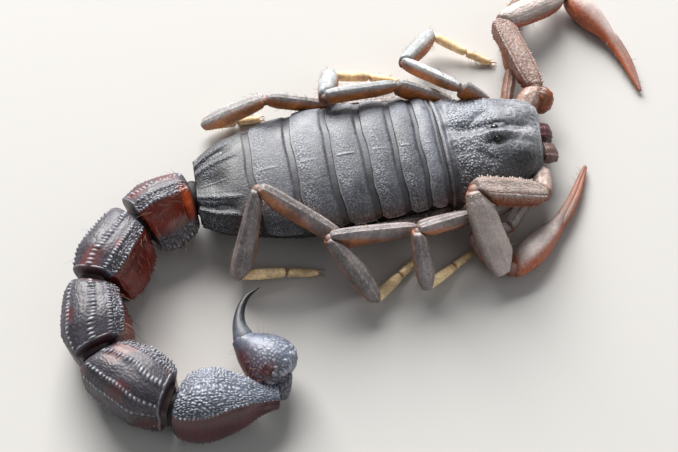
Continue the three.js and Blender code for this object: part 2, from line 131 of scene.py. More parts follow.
FINGER_ROWS = ((0, 0.5), (0.1, 0.9), (0.25, 1), (0.6, 0.75), (1, 0.25))
TAIL_ROWS = ((0, 0.6), (0.05, 0.74), (0.15, 0.86), (0.4, 0.97), (0.62, 1), (0.82, 0.94), (1, 0.84))
LAST_TAIL_ROWS = (
    (0, 0.55), (0.1, 0.84), (0.28, 1), (0.46, 0.93), (0.64, 0.72), (0.8, 0.5), (0.92, 0.4), (1, 0.37),
)
VESICLE_ROWS = ((0, 0.46), (0.1, 0.8), (0.3, 1.03), (0.52, 0.98), (0.74, 0.76), (0.88, 0.54), (1, 0.36))
STING_ROWS = (
    (0, 1.2), (0.1, 1.12), (0.18, 0.95), (0.28, 0.76), (0.42, 0.58), (0.6, 0.43), (0.8, 0.27), (1, 0.08),
)
TAIL_GIRTHS = ((4.1, 3.4), (4.4, 3.7), (4.5, 3.8), (4.4, 3.7), (4.0, 3.4))
TAIL_ROLLS = (36, 12, 3, -4, -6)     # degrees that each segment's upper face turns skywards
TAIL_REDNESS = (1.0, 0.85, 0.75, 0.6, 0.5)         # of each segment's hollowed upper face
TAIL_TAPERS = (0.8, 1.2, 1.4, 1.7, 1.2)            # how far each belly side draws in at the far end

# ------------------------------------------------------------- number helpers


def unit(vectors):
    """Vectors scaled to length one."""
    return vectors / np.maximum(np.linalg.norm(vectors, axis=-1, keepdims=True), 1e-9)


def ease(low, high, x):
    """0 at low, 1 at high and a smooth S between; low may be the larger."""
    share = np.clip((np.asarray(x, float) - low) / (high - low), 0, 1)
    return share * share * (3 - 2 * share)


def bump(x, width):
    """A bell of height one at 0: e to the power of minus (x / width) squared."""
    return np.exp(-((x / width) ** 2))


def curve(rows, x):
    """A smooth value at x from rows of (x, value): cubic pieces with the neighbours' slopes."""
    table = np.asarray(rows, float)
    xs, vs = table[:, 0], table[:, 1]
    before = np.maximum(np.arange(len(xs)) - 1, 0)
    after = np.minimum(np.arange(len(xs)) + 1, len(xs) - 1)
    slopes = (vs[after] - vs[before]) / (xs[after] - xs[before])
    k = np.clip(np.searchsorted(xs, x, side="right") - 1, 0, len(xs) - 2)
    span = xs[k + 1] - xs[k]
    t = np.clip((x - xs[k]) / span, 0, 1)
    return (
        vs[k] * (1 + 2 * t) * (1 - t) ** 2 + slopes[k] * span * t * (1 - t) ** 2
        + vs[k + 1] * t * t * (3 - 2 * t) - slopes[k + 1] * span * t * t * (1 - t)
    )


def turned(angle, centre):
    """How far an angle lies from another, in degrees from -180 to 180."""
    return (angle - centre + 180) % 360 - 180


def chance(i, j, seed):
    """A repeatable random number from 0 to 1 for each pair of whole numbers."""
    return np.abs(np.sin(i * 127.1 + j * 311.7 + seed * 74.7) * 43758.5453) % 1.0


def grains(u, v, wrap=0, seed=0, keep=1.0, size=1.0):
    """Rounded grains, one to a cell of the u, v lattice, each moved at random.

    Height is 1 - (distance to the nearest grain / its radius) squared, and at
    least 0. The lattice repeats after wrap cells of v; keep is the share of
    cells that hold a grain, and size multiplies their radii.
    """
    height = np.zeros(np.broadcast(u, v).shape)
    cell_u, cell_v = np.floor(u), np.floor(v)
    for step_u in (-1, 0, 1):
        for step_v in (-1, 0, 1):
            i, j = cell_u + step_u, cell_v + step_v
            name = j % wrap if wrap else j
            at_u = i + 0.5 + 0.7 * (chance(i, name, seed) - 0.5)
            at_v = j + 0.5 + 0.7 * (chance(i, name, seed + 1) - 0.5)
            radius = size * (0.38 + 0.3 * chance(i, name, seed + 2))
            there = chance(i, name, seed + 3) <= keep
            away = ((u - at_u) ** 2 + (v - at_v) ** 2) / radius**2
            height = np.maximum(height, there * (1 - away))
    return height


def cloud(u, v, wrap=0, seed=0):
    """Soft random values from 0 to 1: smooth blends of the lattice corners' numbers."""
    i, j = np.floor(u), np.floor(v)
    s, t = ease(0, 1, u - i), ease(0, 1, v - j)
    near = j % wrap if wrap else j
    far = (j + 1) % wrap if wrap else j + 1
    low = chance(i, near, seed) * (1 - s) + chance(i + 1, near, seed) * s
    high = chance(i, far, seed) * (1 - s) + chance(i + 1, far, seed) * s
    return low * (1 - t) + high * t


# -------------------------------------------------------------- closed shapes


class Shape:
    """Corner points in millimetres, faces of four and of three corners, and values per corner."""

    def __init__(self, points, quads, triangles, values):
        self.points = points
        self.quads = quads
        self.triangles = triangles
        self.values = values
        self.grid = None
        self.map = None

    def facing_out(self):
        """The faces' corners in the order that makes the enclosed volume positive."""
        p, q, t = self.points, self.quads, self.triangles
        halves = np.concatenate([q[:, (0, 1, 2)], q[:, (0, 2, 3)], t])
        a, b, c = (p[halves[:, k]] for k in range(3))
        volume = np.einsum("ij,ij->i", a - p.mean(0), np.cross(b - p.mean(0), c - p.mean(0))).sum()
        return (q, t) if volume > 0 else (q[:, ::-1], t[:, ::-1])


def join(shapes):
    """Several shapes as one. A value that a shape lacks counts as 0 there."""
    names = sorted({name for shape in shapes for name in shape.values})
    starts = np.cumsum([0] + [len(shape.points) for shape in shapes])
    faces = [shape.facing_out() for shape in shapes]
    return Shape(
        np.concatenate([shape.points for shape in shapes]),
        np.concatenate([quads + start for (quads, _), start in zip(faces, starts)]),
        np.concatenate([triangles + start for (_, triangles), start in zip(faces, starts)]),
        {
            name: np.concatenate([
                shape.values.get(name, np.zeros(len(shape.points))) for shape in shapes
            ])
            for name in names
        },
    )


def rolled(points, tips, values):
    """A closed skin from a grid whose columns run round it.

    Rows are joined to their neighbours, the last column to the first, and each
    end is shut by a fan to its own tip.
    """
    rows, columns = points.shape[:2]
    index = np.arange(rows * columns).reshape(rows, columns)
    beside = np.roll(index, -1, axis=1)
    quads = np.stack([index[:-1], beside[:-1], beside[1:], index[1:]], -1).reshape(-1, 4)
    first = np.full(columns, rows * columns)
    fans = [np.stack([first, beside[0], index[0]], -1), np.stack([first + 1, index[-1], beside[-1]], -1)]
    kept = {
        name: np.r_[np.broadcast_to(v, (rows, columns)).ravel(), np.mean(v[0]), np.mean(v[-1])]
        for name, v in values.items()
    }
    corners = np.concatenate([points.reshape(-1, 3), np.asarray(tips, float).reshape(2, 3)])
    return Shape(corners, quads, np.concatenate(fans), kept)


def plate(top, under, values):
    """A closed plate: a grid of points over an underside of six loops and a tip.

    The loops are the grid's outline on the under surface, drawn in towards the
    middle by fixed shares, and the skin between two of its points is linear.
    """
    rows, columns = top.shape[:2]
    index = np.arange(rows * columns).reshape(rows, columns)
    faces = np.stack([index[:-1, :-1], index[:-1, 1:], index[1:, 1:], index[1:, :-1]], -1).reshape(-1, 4)
    rim = np.r_[index[0, :-1], index[:-1, -1], index[-1, :0:-1], index[:0:-1, 0]]
    middle = np.array([(rows - 1) / 2, (columns - 1) / 2])
    offset = np.stack([rim // columns, rim % columns], -1) - middle
    place = (middle + np.array([1, 0.985, 0.92, 0.78, 0.52, 0.24])[:, None, None] * offset).reshape(-1, 2)
    base = np.minimum(place.astype(int), [rows - 2, columns - 2])
    s, t = (place - base).T
    i, j = base.T

    def below(grid):
        """The grid's values at the loops' places, linear between its corners."""
        s_, t_ = (s[:, None], t[:, None]) if grid.ndim == 3 else (s, t)
        return ((grid[i, j] * (1 - t_) + grid[i, j + 1] * t_) * (1 - s_)
                + (grid[i + 1, j] * (1 - t_) + grid[i + 1, j + 1] * t_) * s_)

    loops = np.concatenate([rim[None], rows * columns + np.arange(6 * len(rim)).reshape(6, -1)])
    ahead = np.roll(loops, -1, axis=1)
    strips = np.stack([loops[:-1], loops[1:], ahead[1:], ahead[:-1]], -1).reshape(-1, 4)
    tip = rows * columns + 6 * len(rim)
    fan = np.stack([loops[-1], np.full(len(rim), tip), ahead[-1]], -1)
    centre = under[rows // 2, columns // 2]
    kept = {}
    for name, v in values.items():
        v = np.broadcast_to(v, (rows, columns)).astype(float)
        kept[name] = np.r_[v.ravel(), below(v), v[rows // 2, columns // 2]]
    corners = np.concatenate([top.reshape(-1, 3), below(under), centre[None]])
    return Shape(corners, np.concatenate([faces, strips]), fan, kept)


def ball(centre, radii, steps=(12, 16), values=None):
    """A closed ball: rings of radius sin(t) at height cos(t), scaled by the three radii."""
    t = np.linspace(0, math.pi, steps[0] + 2)[1:-1, None]
    a = np.linspace(0, 2 * math.pi, steps[1], endpoint=False)[None, :]
    spread = np.stack([np.sin(t) * np.cos(a), np.sin(t) * np.sin(a), np.cos(t) + 0 * a], -1)
    points = np.asarray(centre) + spread * np.asarray(radii)
    tips = [np.asarray(centre) + np.array([0, 0, s]) * radii for s in (1, -1)]
    kept = {name: np.full(points.shape[:2], v) for name, v in (values or {}).items()}
    return rolled(points, tips, kept)


def bristles(sowing, amount, radius):
    """Bristles over several skins, as one shape.

    Each bristle has three rings of three corners and a tip. Its middle line is
    root + length * (t * direction + 0.3 * t squared * (axis - 0.5 * up)), and
    its radius falls with t. Roots lie at random shares and angles, thinned by
    the skin's own weight, and bristles that would leave the model's box are
    left out. Each root's patch on the OFBake map lies at
    (angle / 360, (skin number + share) / number of skins).
    """
    points, maps, values = [], [], []
    for number, (name, count, shortest, longest, weight) in enumerate(sowing):
        skin = SKINS[name]
        seed = np.arange(int(count * amount * 4))
        share, angle = 0.04 + 0.92 * chance(seed, number, 61), 360 * chance(seed, number, 62)
        kept = np.flatnonzero(chance(seed, number, 63) < weight(share, angle))[:int(count * amount)]
        share, angle, seed = share[kept], angle[kept], seed[kept]
        row = np.clip(np.searchsorted(skin["share"], share), 0, len(skin["share"]) - 1)
        column = (angle / 360 * len(skin["angle"])).astype(int)
        root, out, axis = (skin[key][row, column] for key in ("points", "out", "axis"))
        stray = np.stack([chance(seed, number, 64 + k) - 0.5 for k in range(3)], -1)
        heading = unit(out + 0.5 * axis + 0.7 * stray)
        side = unit(np.cross(heading, np.array([0.3, 0.2, 0.9]) + stray))
        above = np.cross(side, heading)
        length = shortest + (longest - shortest) * chance(seed, number, 67)
        t = np.array([0.0, 0.36, 0.72, 1.0])
        bend = axis - 0.5 * UP + stray
        reach = t[None, :, None] * heading[:, None] + 0.3 * t[None, :, None] ** 2 * bend[:, None]
        middle = (root - 0.04 * out)[:, None] + length[:, None, None] * reach
        turn = np.radians([0, 120, 240])
        ring = np.cos(turn)[:, None] * side[:, None, :] + np.sin(turn)[:, None] * above[:, None, :]
        thick = radius / MM * np.array([1.0, 0.8, 0.5])
        rings = middle[:, :3, None] + thick[None, :, None, None] * ring[:, None]
        corners = np.concatenate([rings.reshape(len(kept), 9, 3), middle[:, 3:]], 1)
        corners[..., 2] = np.maximum(corners[..., 2], 0.01)
        inside = ((corners > LOWEST) & (corners < HIGHEST)).all((1, 2))
        corners, share, angle, seed = corners[inside], share[inside], angle[inside], seed[inside]
        points.append(corners)
        patch = np.stack([angle / 360, (number + share) / len(sowing)], -1) * 0.99 + 0.005
        maps.append(patch[:, None] + BRISTLE_PATCH[None])
        values.append(np.repeat(chance(seed, number, 68)[:, None], 10, 1))
    points, maps, values = (np.concatenate(part) for part in (points, maps, values))
    first = np.arange(len(points))[:, None, None] * 10
    shape = Shape(points.reshape(-1, 3), (first + BRISTLE_QUADS).reshape(-1, 4),
                  (first + BRISTLE_TRIANGLES).reshape(-1, 3), {"grain": values.ravel()})
    shape.map = maps.reshape(-1, 2)
    return shape


BRISTLE_QUADS = np.array([[3 * r + k, 3 * r + (k + 1) % 3, 3 * r + 3 + (k + 1) % 3, 3 * r + 3 + k]
                          for r in (0, 1) for k in range(3)])
BRISTLE_TRIANGLES = np.array([[6, 7, 9], [7, 8, 9], [8, 6, 9], [2, 1, 0]])
BRISTLE_PATCH = 0.0015 * np.array([[math.cos(2.1 * k + r), math.sin(2.1 * k + r)]
                                   for r in (0, 1, 2) for k in range(3)] + [[0, 0]])


def limb_piece(line, up, girth, rows, relief=None, before=None, after=None,
               steps=(60, 64), caps=(0.05, 0.05), squareness=0.9):
    """A closed piece round a middle line.

    At each share of the line the section is a rounded box: across times the
    cosine and deep times the sine of the angle, each to the power squareness.
    Both follow the profile in rows, and shrink to nothing over the caps as the
    root of 1 - (1 - share / cap) squared. relief lifts the skin outwards. Each
    end leans into the plane that halves the turn to the neighbouring piece.
    """
    line = np.asarray(line, float)
    reach = np.r_[0, np.cumsum(np.linalg.norm(np.diff(line, axis=0), axis=1))]
    total = reach[-1]
    count, around = (max(8, int(step * DENSITY)) for step in steps)

    def at(share):
        """Points of the middle line at shares of its length."""
        return np.stack([np.interp(share * total, reach, line[:, k]) for k in range(3)], -1)

    even = np.linspace(0, 1, count)
    share = 0.001 + 0.998 * (even - 0.1 * np.sin(2 * np.pi * even))
    centre = at(share)
    axis = unit(at(np.minimum(share + 0.04, 1)) - at(np.maximum(share - 0.04, 0)))
    upward = unit(up - (axis @ up)[:, None] * axis)
    side = np.cross(upward, axis)
    angle = np.linspace(0, 360, around, endpoint=False)
    c, s = np.cos(np.radians(angle)), np.sin(np.radians(angle))
    wide = np.sign(c) * np.abs(c) ** squareness
    high = np.sign(s) * np.abs(s) ** squareness
    blunt = np.sqrt(1 - (1 - np.clip(share / caps[0], 0, 1)) ** 2)
    blunt = blunt * np.sqrt(1 - (1 - np.clip((1 - share) / caps[1], 0, 1)) ** 2)
    size = curve(rows, share) * blunt
    offset = (
        side[:, None] * (size[:, None] * wide * girth[0])[..., None]
        + upward[:, None] * (size[:, None] * high * girth[1])[..., None]
    )
    values = {"along": np.repeat(share[:, None], around, 1)}
    if relief:
        lift, more = relief(share[:, None], angle[None, :])
        offset += unit(offset) * (lift * blunt[:, None])[..., None]
        values.update({name: v * np.ones((count, around)) for name, v in more.items()})
    shift = np.zeros((count, around))
    long = np.linalg.norm(offset, axis=-1)
    for neighbour, fade, inner, outer in (
        (before, (1 - share) ** 3, -0.35 * long, 0.4 * total),
        (after, share**3, -0.4 * total, 0.35 * long),
    ):
        if neighbour is None:
            continue
        middle = unit(neighbour + axis)
        lean = -np.einsum("rcd,rd->rc", offset, middle)
        lean /= np.maximum(np.einsum("rd,rd->r", axis, middle), 0.3)[:, None]
        shift += np.clip(lean, inner, outer) * fade[:, None]
    points = centre[:, None] + offset + axis[:, None] * shift[..., None]
    points[..., 2] = np.maximum(points[..., 2], 0)
    shape = rolled(points, [centre[0], centre[-1]], values)
    shape.grid = {
        "points": points, "out": unit(offset), "axis": np.repeat(axis[:, None], around, 1),
        "share": share, "angle": angle, "values": values,
    }
    return shape


# ------------------------------------------------------- reading the CAD frame


def corners_of(node):
    """A CAD node's corner points in millimetres, one row for each face that meets there."""
    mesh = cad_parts[node].data
    flat = np.empty(3 * len(mesh.vertices))
    mesh.vertices.foreach_get("co", flat)
    return flat.reshape(-1, 3) / MM


def box_of(node):
    """A CAD node's lowest and highest corner in the animal's own axes, in millimetres."""
    low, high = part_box(node)
    return np.array(low) / MM - ORIGIN, np.array(high) / MM - ORIGIN


def find_origin():
    """The middle of the carapace's rear margin, on the floor."""
    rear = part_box("carapace")[0][0] / MM - GAP / 2
    eyes = [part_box(f"eye_{side}") for side in SIDES]
    middle = np.mean([[low[1], high[1]] for low, high in eyes]) / MM
    return np.array([rear, middle + MIDLINE_SHIFT, 0.0])


ORIGIN = find_origin()
LOWEST, HIGHEST = (np.array(corner) / MM - ORIGIN for corner in CAD_BOX)


def ends_of(node):
    """The two ends of a limb solid's middle line: the corners where most of its faces meet."""
    places, counts = np.unique(np.round(corners_of(node), 3), axis=0, return_counts=True)
    return places[np.argsort(counts)[-2:]] - ORIGIN


def joints_of(nodes):
    """A limb's joints from root to tip: each lies halfway between two neighbours' nearest ends."""
    ends = [ends_of(node) for node in nodes]
    inner = []
    for near, far in zip(ends, ends[1:]):
        gaps = np.linalg.norm(near[:, None] - far[None], axis=2)
        i, j = np.unravel_index(gaps.argmin(), gaps.shape)
        inner.append((near[i] + far[j]) / 2)
    root = max(ends[0], key=lambda end: np.linalg.norm(end - inner[0]))
    tip = max(ends[-1], key=lambda end: np.linalg.norm(end - inner[-1]))
    return [root, *inner, tip]


def bend_of(node, start, tip):
    """The middle of a bent piece: the mean of its corners about halfway between its ends."""
    corners = corners_of(node) - ORIGIN
    share = (corners - start) @ (tip - start) / np.sum((tip - start) ** 2)
    return corners[(share > 0.42) & (share < 0.66)].mean(0)


def mirrored(side, place):
    """A place of the left side, or the same place on the right."""
    x, y, z = place
    return np.array([x, y if side == "left" else -y, z])


# ---------------------------------------------------------------- into Blender


def put(name, shape, material, nodes=()):
    """Makes a shape a smooth mesh object of the model, in metres in the frame's axes."""
    quads, triangles = shape.facing_out()
    mesh = bpy.data.meshes.new(name)
    mesh.vertices.add(len(shape.points))
    mesh.vertices.foreach_set("co", ((shape.points + ORIGIN) * MM).ravel())
    loops = np.r_[quads.ravel(), triangles.ravel()]
    mesh.loops.add(len(loops))
    mesh.loops.foreach_set("vertex_index", loops)
    starts = np.r_[np.arange(len(quads)) * 4, len(quads) * 4 + np.arange(len(triangles)) * 3]
    mesh.polygons.add(len(starts))
    mesh.polygons.foreach_set("loop_start", starts)
    mesh.update(calc_edges=True)
    for key, value in shape.values.items():
        mesh.attributes.new(key, "FLOAT", "POINT").data.foreach_set("value", value.astype(float))
    if shape.map is not None:
        mesh.uv_layers.new(name="OFBake").uv.foreach_set("vector", shape.map[loops].ravel())
    mesh.shade_smooth()
    mesh.materials.append(material)
    piece = bpy.data.objects.new(name, mesh)
    bpy.context.scene.collection.objects.link(piece)
    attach(piece, "root")
    if nodes:
        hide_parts(*nodes)
    if shape.grid:
        SKINS[name] = shape.grid


# ------------------------------------------------------------ shader groups


class Tree:
    """A node tree with short calls for adding and linking nodes."""

    def __init__(self, tree):
        self.tree = tree

    def add(self, kind, settings=None, **inputs):
        """A new node with its settings and its inputs by name."""
        node = self.tree.nodes.new(f"ShaderNode{kind}")
        for key, value in (settings or {}).items():
            setattr(node, key, value)
        for key, value in inputs.items():
            self.feed(node.inputs[key.replace("_", " ")], value)
        return node

    def feed(self, socket, value):
        """Links an output to a socket, or sets the socket to a constant."""
        if isinstance(value, bpy.types.NodeSocket):
            self.tree.links.new(value, socket)
        else:
            socket.default_value = value

    def attribute(self, name):
        """One of the mesh's own masks."""
        return self.add("Attribute", {"attribute_name": name}).outputs["Fac"]

    def place(self):
        """Object coordinates."""
        return self.add("TexCoord").outputs["Object"]

    def maths(self, operation, *terms):
        """The result of one operation on up to three terms."""
        node = self.add("Math", {"operation": operation})
        for socket, term in zip(node.inputs, terms):
            self.feed(socket, term)
        return node.outputs[0]

    def span(self, value, low, high, to_low=0.0, to_high=1.0):
        """A smooth S from to_low to to_high while the value goes from low to high."""
        node = self.add("MapRange", {"interpolation_type": "SMOOTHSTEP"})
        for key, term in zip(("Value", "From Min", "From Max", "To Min", "To Max"),
                             (value, low, high, to_low, to_high)):
            self.feed(node.inputs[key], term)
        return node.outputs["Result"]

    def blend(self, share, first, second):
        """The first colour turned into the second by a share."""
        node = self.add("Mix", {"data_type": "RGBA"})
        self.feed(node.inputs["Factor"], share)
        self.feed(node.inputs[6], first)
        self.feed(node.inputs[7], second)
        return node.outputs[2]


def new_group(name, inputs, outputs):
    """A shader node group with named sockets, and its input and output nodes."""
    group = bpy.data.node_groups.new(name, "ShaderNodeTree")
    for in_out, sockets in (("INPUT", inputs), ("OUTPUT", outputs)):
        for label, kind in sockets:
            group.interface.new_socket(label, in_out=in_out, socket_type=f"NodeSocket{kind}")
    tree = Tree(group)
    start = group.nodes.new("NodeGroupInput").outputs
    finish = group.nodes.new("NodeGroupOutput").inputs
    return tree, start, finish


def chitin_group():
    """Mottled shell: patchy light and dark, grain tops turned pale, partly for wear and partly as a painted
    glint, and a finely pitted height.
    """
    if "Chitin" in bpy.data.node_groups:
        return bpy.data.node_groups["Chitin"]
    tree, start, finish = new_group(
        "Chitin",
        [("Color", "Color"), ("BloomAndGlint", "Color"), ("Grain", "Float"), ("Patches", "Float"),
         ("Grit", "Float"), ("Roughness", "Float")],
        [("Color", "Color"), ("Roughness", "Float"), ("Height", "Float")],
    )
    place = tree.place()
    broad = tree.add("TexNoise", Vector=place, Scale=420.0, Detail=4.0, Roughness=0.6).outputs["Fac"]
    fine = tree.add("TexNoise", Vector=place, Scale=2600.0, Detail=3.0, Roughness=0.65).outputs["Fac"]
    pits = tree.add("TexVoronoi", Vector=place, Scale=4200.0).outputs["Distance"]
    shade = tree.span(broad, 0.3, 0.72, 0.62, 1.38)
    shade = tree.maths("MULTIPLY", shade, tree.span(fine, 0.3, 0.7, 0.82, 1.18))
    change = tree.maths("SUBTRACT", shade, 1.0)
    shade = tree.maths("ADD", 1.0, tree.maths("MULTIPLY", start["Patches"], change))
    toned = tree.add("VectorMath", {"operation": "SCALE"})
    tree.feed(toned.inputs[0], start["Color"])
    tree.feed(toned.inputs["Scale"], shade)
    # Painted glint: the grains' tops turn towards the pale colour, partly for wear and partly in place of
    # their highlights.
    wear_and_glint = tree.maths("MULTIPLY", start["Grain"], tree.span(fine, 0.35, 0.62, 0.45, 1.0))
    tree.feed(finish["Color"], tree.blend(wear_and_glint, toned.outputs[0], start["BloomAndGlint"]))
    rough = tree.maths("ADD", start["Roughness"], tree.span(broad, 0.3, 0.7, -0.07, 0.09))
    tree.feed(finish["Roughness"], rough)
    height = tree.maths("ADD", fine, tree.maths("MULTIPLY", pits, 0.9))
    tree.feed(finish["Height"], tree.maths("MULTIPLY", height, start["Grit"]))
    return tree.tree


def linear(red, green, blue):
    """A colour's linear values from its display values of 0 to 255."""
    share = np.array([red, green, blue]) / 255
    values = np.where(share <= 0.04045, share / 12.92, ((share + 0.055) / 1.055) ** 2.4)
    return (*map(float, values), 1.0)


def shell_material(name, base, bloom_and_glint, tints=(), grain=1.0, patches=1.0, grit=1.0, bump_mm=0.02,
                   roughness=0.42, specular=0.5, coat=0.0, subsurface=0.0):
    """A shell finish: base colour, a tint for each named mask, and the chitin group over both."""
    material = bpy.data.materials.new(name)
    material.use_nodes = True
    tree = Tree(material.node_tree)
    tree.tree.nodes.clear()
    colour = base
    for mask, tint in tints:
        colour = tree.blend(tree.attribute(mask), colour, tint)
    chitin = tree.add("Group")
    chitin.node_tree = chitin_group()
    tree.feed(chitin.inputs["Color"], colour)
    tree.feed(chitin.inputs["BloomAndGlint"], bloom_and_glint)
    tree.feed(chitin.inputs["Grain"], tree.maths("MULTIPLY", tree.attribute("grain"), grain))
    tree.feed(chitin.inputs["Patches"], patches)
    tree.feed(chitin.inputs["Grit"], grit)
    tree.feed(chitin.inputs["Roughness"], tree.maths(
        "SUBTRACT", roughness, tree.maths("MULTIPLY", tree.attribute("gloss"), 0.2)))
    relief = tree.add("Bump", Strength=1.0, Distance=bump_mm * MM, Height=chitin.outputs["Height"])
    shader = tree.add(
        "BsdfPrincipled", Base_Color=chitin.outputs["Color"], Roughness=chitin.outputs["Roughness"],
        Normal=relief.outputs["Normal"],
    )
    shader.inputs["Specular IOR Level"].default_value = specular
    shader.inputs["Coat Weight"].default_value = coat
    shader.inputs["Coat Roughness"].default_value = 0.25
    if subsurface:
        shader.inputs["Subsurface Weight"].default_value = subsurface
        shader.inputs["Subsurface Scale"].default_value = 0.4 * MM
    tree.feed(tree.add("OutputMaterial").inputs["Surface"], shader.outputs["BSDF"])
    return material


def materials():
    """The model's finishes by name, made once."""
    if "Back shell" not in bpy.data.materials:
        make_materials()
    return bpy.data.materials


def make_materials():
    """Makes every finish, with the panel's colours where it has them."""
    colours = bpy.context.scene.scorpion_colours

    def pick(name):
        """A colour of the panel, opaque."""
        return (*getattr(colours, name), 1.0)

    # The back's pale tint also paints highlights on the side facing the lamp, and its dark tints also paint
    # shade in hollows, creases and on the side turned from it.
    shell_material(
        "Back shell", pick("back"), pick("bloom_and_glint"),
        tints=[("bare", linear(44, 45, 51)), ("pale", linear(104, 108, 117)), ("rim", linear(142, 140, 142)),
               ("fold", linear(21, 20, 23))],
        grain=0.85, roughness=0.52, specular=0.6, bump_mm=0.012,
    )
    # The tail's pale tint is partly a painted sheen on upward faces, and its bright orange tint is a painted
    # highlight.
    shell_material(
        "Tail shell", pick("tail"), pick("bloom_and_glint"),
        tints=[("pale", linear(104, 112, 130)), ("rust", pick("rust")), ("glow", linear(222, 92, 24)),
               ("fold", linear(18, 14, 16))],
        grain=0.95, patches=0.8, roughness=0.46, specular=0.6, coat=0.05, bump_mm=0.01,
    )
    # The legs' pale tint is a painted sheen on tops that face the lamp.
    shell_material(
        "Leg shell", pick("leg"), linear(188, 184, 182),
        tints=[("pale", linear(136, 145, 149)), ("under", pick("orange")), ("knee", linear(122, 70, 42))],
        grain=0.8, roughness=0.5, specular=0.5, bump_mm=0.02, subsurface=0.1,
    )
    shell_material(
        "Claw shell", pick("claw"), linear(206, 196, 190),
        tints=[("pale", linear(204, 190, 186)), ("under", linear(168, 84, 48)), ("knee", linear(124, 68, 40)),
                ("dark", linear(124, 62, 30))],
        grain=0.8, patches=0.5, roughness=0.46, specular=0.5, bump_mm=0.02, subsurface=0.1,
    )
    shell_material(
        "Foot shell", pick("foot"), linear(232, 208, 160),
        tints=[("knee", linear(160, 100, 52)), ("dark", linear(60, 34, 20))],
        grain=0.5, roughness=0.44, specular=0.45, bump_mm=0.012, subsurface=0.2,
    )
    shell_material(
        "Jaw shell", linear(78, 38, 44), linear(150, 124, 122),
        tints=[("pale", linear(132, 118, 108)), ("dark", linear(38, 18, 18))],
        grain=0.7, roughness=0.42, specular=0.5, bump_mm=0.02,
    )
    shell_material(
        "Joint skin", linear(92, 44, 28), linear(150, 100, 76),
        tints=[("dark", linear(24, 20, 22))],
        grain=0.2, roughness=0.45, specular=0.4, bump_mm=0.02,
    )
    shell_material("Eye lens", linear(9, 12, 10), linear(9, 12, 10), patches=0.0, grit=0.0,
                   roughness=0.22, specular=0.5, coat=0.5)
    shell_material(
        "Sting", linear(66, 70, 78), linear(120, 126, 136), tints=[("rust", linear(22, 17, 19))],
        grain=0.6, roughness=0.5, specular=0.45, bump_mm=0.008,
    )
    shell_material("Bristle", linear(150, 122, 98), linear(176, 152, 128), patches=0.3, grit=0.0,
                   roughness=0.45, specular=0.4)


# ------------------------------------------------------------ shell relief


def ridges(share, angle, length, rows, reach=(0.02, 0.09, 0.92, 0.985)):
    """Toothed keels along a limb.

    Each row holds (angle, half width, height, tooth pitch, growth, bite): a
    bell across the angle, times teeth that are half a raised cosine and take
    the share bite of the height, times 1 plus growth where it nears the far
    end. Each keel wanders by up to 2.5 degrees, and its teeth vary in size from
    0.5 to 1.3. Returns the lift and the teeth's mask.
    """
    held = ease(reach[0], reach[1], share) * ease(reach[3], reach[2], share)
    lift, tips = 0.0, 0.0
    for centre, width, height, pitch, growth, bite in rows:
        wander = 5 * (cloud(share * length * 0.45, centre + 0 * share, 0, 8) - 0.5)
        across = bump(turned(angle, centre) - wander, width)
        place = share * length / pitch + centre + 0.9 * cloud(share * length * 0.7, centre + 0 * share, 0, 6)
        beat = 0.5 - 0.5 * np.cos(2 * np.pi * place)
        size = (1 + growth * ease(0.35, 0.9, share)) * (0.5 + 0.8 * chance(np.floor(place), centre, 5))
        lift = lift + held * across * height * size * (1 - bite + bite * beat**1.4)
        tips = np.maximum(tips, held * across * beat * np.minimum(size, 1) * (0.3 + 0.7 * (bite > 0.5)))
    return lift, tips


